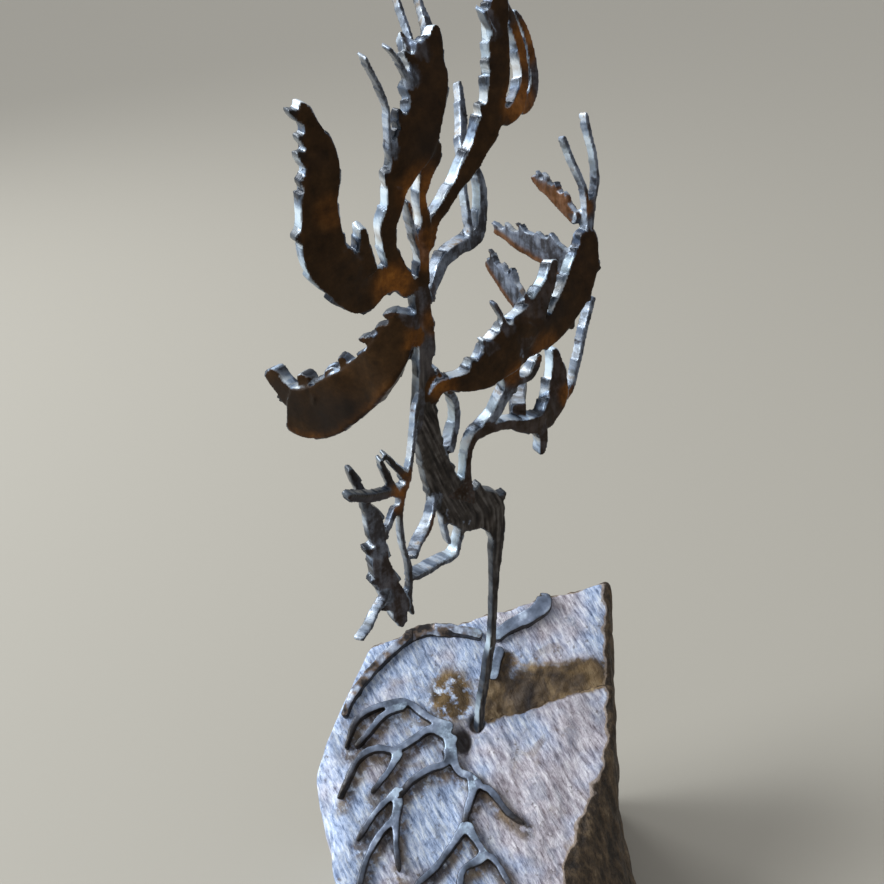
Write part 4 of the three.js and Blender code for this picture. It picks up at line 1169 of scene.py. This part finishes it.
def rock_material(name):
    n = Nodes(name)
    side, crevice, hollow = map(n.value, ("side", "crevice", "hollow"))
    grain, layers, stain = map(n.value, ("grain", "layers", "stain"))
    fine = n.noise(700, 5, 0.65)
    speck = n.noise(260, 4, 0.6)
    broad = n.noise(32, 3, 0.55)
    clouds = n.noise(75, 4, 0.6, distortion=0.6)
    turn = Matrix((GRAIN_ACROSS, GRAIN_WAY, GRAIN_OUT)).transposed().to_euler()
    streaks = n.noise(1.0, 5, 0.72, n.mapped((540, 120, 300), turn))
    # Clean stone: pale grey-blue above, warming to pink-grey at the lower right, with dark grains
    cool = n.ramp(streaks,
        (0.27, 0.055, 0.08, 0.15), (0.38, 0.21, 0.28, 0.44), (0.49, 0.47, 0.57, 0.78),
        (0.64, 0.86, 0.92, 1))
    warm = n.ramp(streaks,
        (0.28, 0.1, 0.078, 0.085), (0.41, 0.34, 0.295, 0.325), (0.53, 0.6, 0.55, 0.59),
        (0.68, 0.92, 0.88, 0.9))
    drift = n.plus(broad, n.value("warmth"))
    stone = n.mix(n.span(drift, 0.40, 0.66), cool, warm)
    stone = n.over(stone, grain, 0.0, -0.9, 0.5, (0.10, 0.115, 0.16))
    stone = n.over(stone, clouds, 0.48, 0.34, 0.4, (0.20, 0.235, 0.32))
    stone = n.over(stone, speck, 0.60, 0.72, 0.7, (0.075, 0.06, 0.055))
    tan_patch = n.span(n.noise(52, 4, 0.65, distortion=0.8), 0.57, 0.70, 0.0, 0.45)
    stone = n.mix(tan_patch, stone, (0.24, 0.165, 0.10))
    # Rust round the roots, and in the crevice rust together with painted shade
    rust = n.ramp(clouds,
        (0.3, 0.024, 0.012, 0.003), (0.46, 0.09, 0.053, 0.019), (0.6, 0.22, 0.138, 0.054),
        (0.76, 0.42, 0.3, 0.155))
    patchy = n.times(stain, n.span(speck, 0.36, 0.52))
    stone = n.mix(patchy, stone, rust)
    frayed = n.plus(crevice, n.centred(clouds, 1.1))
    frayed = n.plus(frayed, n.centred(speck, 0.6))
    stone = n.over(stone, frayed, 0.3, 0.75, 0.96, rust)
    # The right side and back: weathered brown layers, darkened further as painted shade, with a tan rim
    # where the clean face breaks off
    flakes = n.noise(1.0, 5, 0.75, n.mapped((330, 330, 85)))
    layered = n.plus(n.times(n.span(layers, -1.2, 1.2), 0.45),
                     n.times(n.span(flakes, 0.3, 0.7), 0.55))
    bark = n.ramp(layered,
        (0.1, 0.01, 0.006, 0.003), (0.42, 0.04, 0.025, 0.013), (0.72, 0.105, 0.068, 0.036),
        (0.95, 0.23, 0.165, 0.095))
    edge = n.plus(side, n.centred(speck, 0.8))
    stone = n.over(stone, edge, 0.12, 0.34, 0.75, (0.34, 0.245, 0.155))
    stone = n.mix(n.span(edge, 0.42, 0.66), stone, bark)
    # Painted shade: the hollow and the dip round the stem's foot darkened to near black
    stone = n.over(stone, hollow, 0.1, 0.9, 0.9, (0.045, 0.028, 0.014))
    n.set("Base Color", stone)
    n.set("Roughness", n.span(fine, 0.3, 0.7, 0.55, 0.8))
    n.set("Specular IOR Level", 0.4)
    low = n.bump(streaks, 0.0014, 0.9)
    low = n.bump(speck, 0.0009, 0.7, low)
    n.set("Normal", n.bump(fine, 0.0005, 0.7, low))
    return n.material


def plain_material(name, colour, roughness):
    n = Nodes(name)
    n.set("Base Color", (*colour, 1))
    n.set("Roughness", roughness)
    return n.material


# The pieces

steel = steel_material("heat_tinted_steel")
stone = rock_material("weathered_stone")


def finish_piece(piece, material, slot, *nodes):
    piece.data.materials.clear()
    piece.data.materials.append(material)
    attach(piece, "root")
    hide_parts(*nodes)


finish_piece(make_rock(), stone, "rock", "rock")
finish_piece(make_tree(), steel, "steel", "tree")
roots = root_material("satin_roots")
spray_ways = []
for root_name, root_way in FRONT_ROOTS.items():
    start, web = THICK_START if root_name in THICK_ROOTS else THIN_START
    spray_ways.append((root_way, start, SPRAY_END, web))
left_ways = [(RIDGE_ROOT_LEFT, 0.9, 0.8, 0)]
right_ways = [(RIDGE_ROOT_RIGHT, 1, 1.7, 0), (RIDGE_PEG, 1, 1, 0)]
finish_piece(make_roots("root_spray", spray_ways, 1, 0), roots, "steel", "root_front_spray")
finish_piece(make_roots("root_along_ridge", left_ways, 0, 1), roots, "steel", "root_ridge_left")
finish_piece(make_roots("root_over_ridge", right_ways, 0, 0), roots, "steel", "root_ridge_right")


# Floor, light and camera

FLOOR_REACH = 6000
CAMERA_AT = (-0.015, -0.430, 0.490)
CAMERA_PITCH = math.radians(28.076)
CAMERA_ROLL = math.radians(1.575)
SENSOR_WIDTH = 36
# Focal length in widths of the picture
FOCAL_SHARE = 1234 / 884


def make_floor():
    corners = [[x * FLOOR_REACH, y * FLOOR_REACH, 0] for x, y in ((-1, -1), (1, -1), (1, 1), (-1, 1))]
    floor = mesh_object("floor", corners, [[0, 1, 2, 3]])
    floor.data.materials.append(plain_material("pale_floor", (0.43, 0.395, 0.33), 0.8))


def add_light(name, kind, power, colour, shines, **settings):
    """A light that shines along a direction."""
    light = bpy.data.lights.new(name, kind)
    light.energy = power
    light.color = colour
    for key, value in settings.items():
        setattr(light, key, value)
    holder = placed(name, light)
    holder.rotation_euler = shines.to_track_quat("-Z", "Y").to_euler()
    return holder


def add_window(name, at, size, power, colour):
    """A large soft light that looks at the middle of the tree."""
    at = Vector(at)
    add_light(name, "AREA", power, colour, Vector((0, 0, 0.25)) - at, size=size).location = at


def make_light():
    add_light("window_sun", "SUN", 1.9, (0.90, 0.95, 1.0), Vector((0.78, 0.22, -0.62)), angle=0.5)
    add_window("window_light", (-1.3, -0.1, 1.0), 0.8, 11, (0.84, 0.92, 1.0))
    add_window("rim_light", (-0.9, 1.0, 1.0), 0.7, 7, (0.9, 0.95, 1.0))
    world = bpy.data.worlds.new("soft_room")
    world.use_nodes = True
    background = world.node_tree.nodes["Background"]
    background.inputs[0].default_value = (0.86, 0.89, 0.94, 1)
    background.inputs[1].default_value = 0.5
    bpy.context.scene.world = world


def make_camera():
    forward = Vector((0, math.cos(CAMERA_PITCH), -math.sin(CAMERA_PITCH)))
    down = Vector((0, -math.sin(CAMERA_PITCH), -math.cos(CAMERA_PITCH)))
    right = Vector((1, 0, 0))
    across = math.cos(CAMERA_ROLL) * right + math.sin(CAMERA_ROLL) * down
    below = -math.sin(CAMERA_ROLL) * right + math.cos(CAMERA_ROLL) * down
    turn = Matrix((across, -below, -forward)).transposed().to_4x4()
    data = bpy.data.cameras.new("photo_view")
    data.sensor_fit = "HORIZONTAL"
    data.sensor_width = SENSOR_WIDTH
    data.lens = SENSOR_WIDTH * FOCAL_SHARE
    data.dof.use_dof = False
    camera = placed("photo_view", data)
    camera.matrix_world = Matrix.Translation(CAMERA_AT) @ turn
    bpy.context.scene.camera = camera


make_floor()
make_light()
make_camera()
bpy.context.scene.view_settings.view_transform = "Standard"
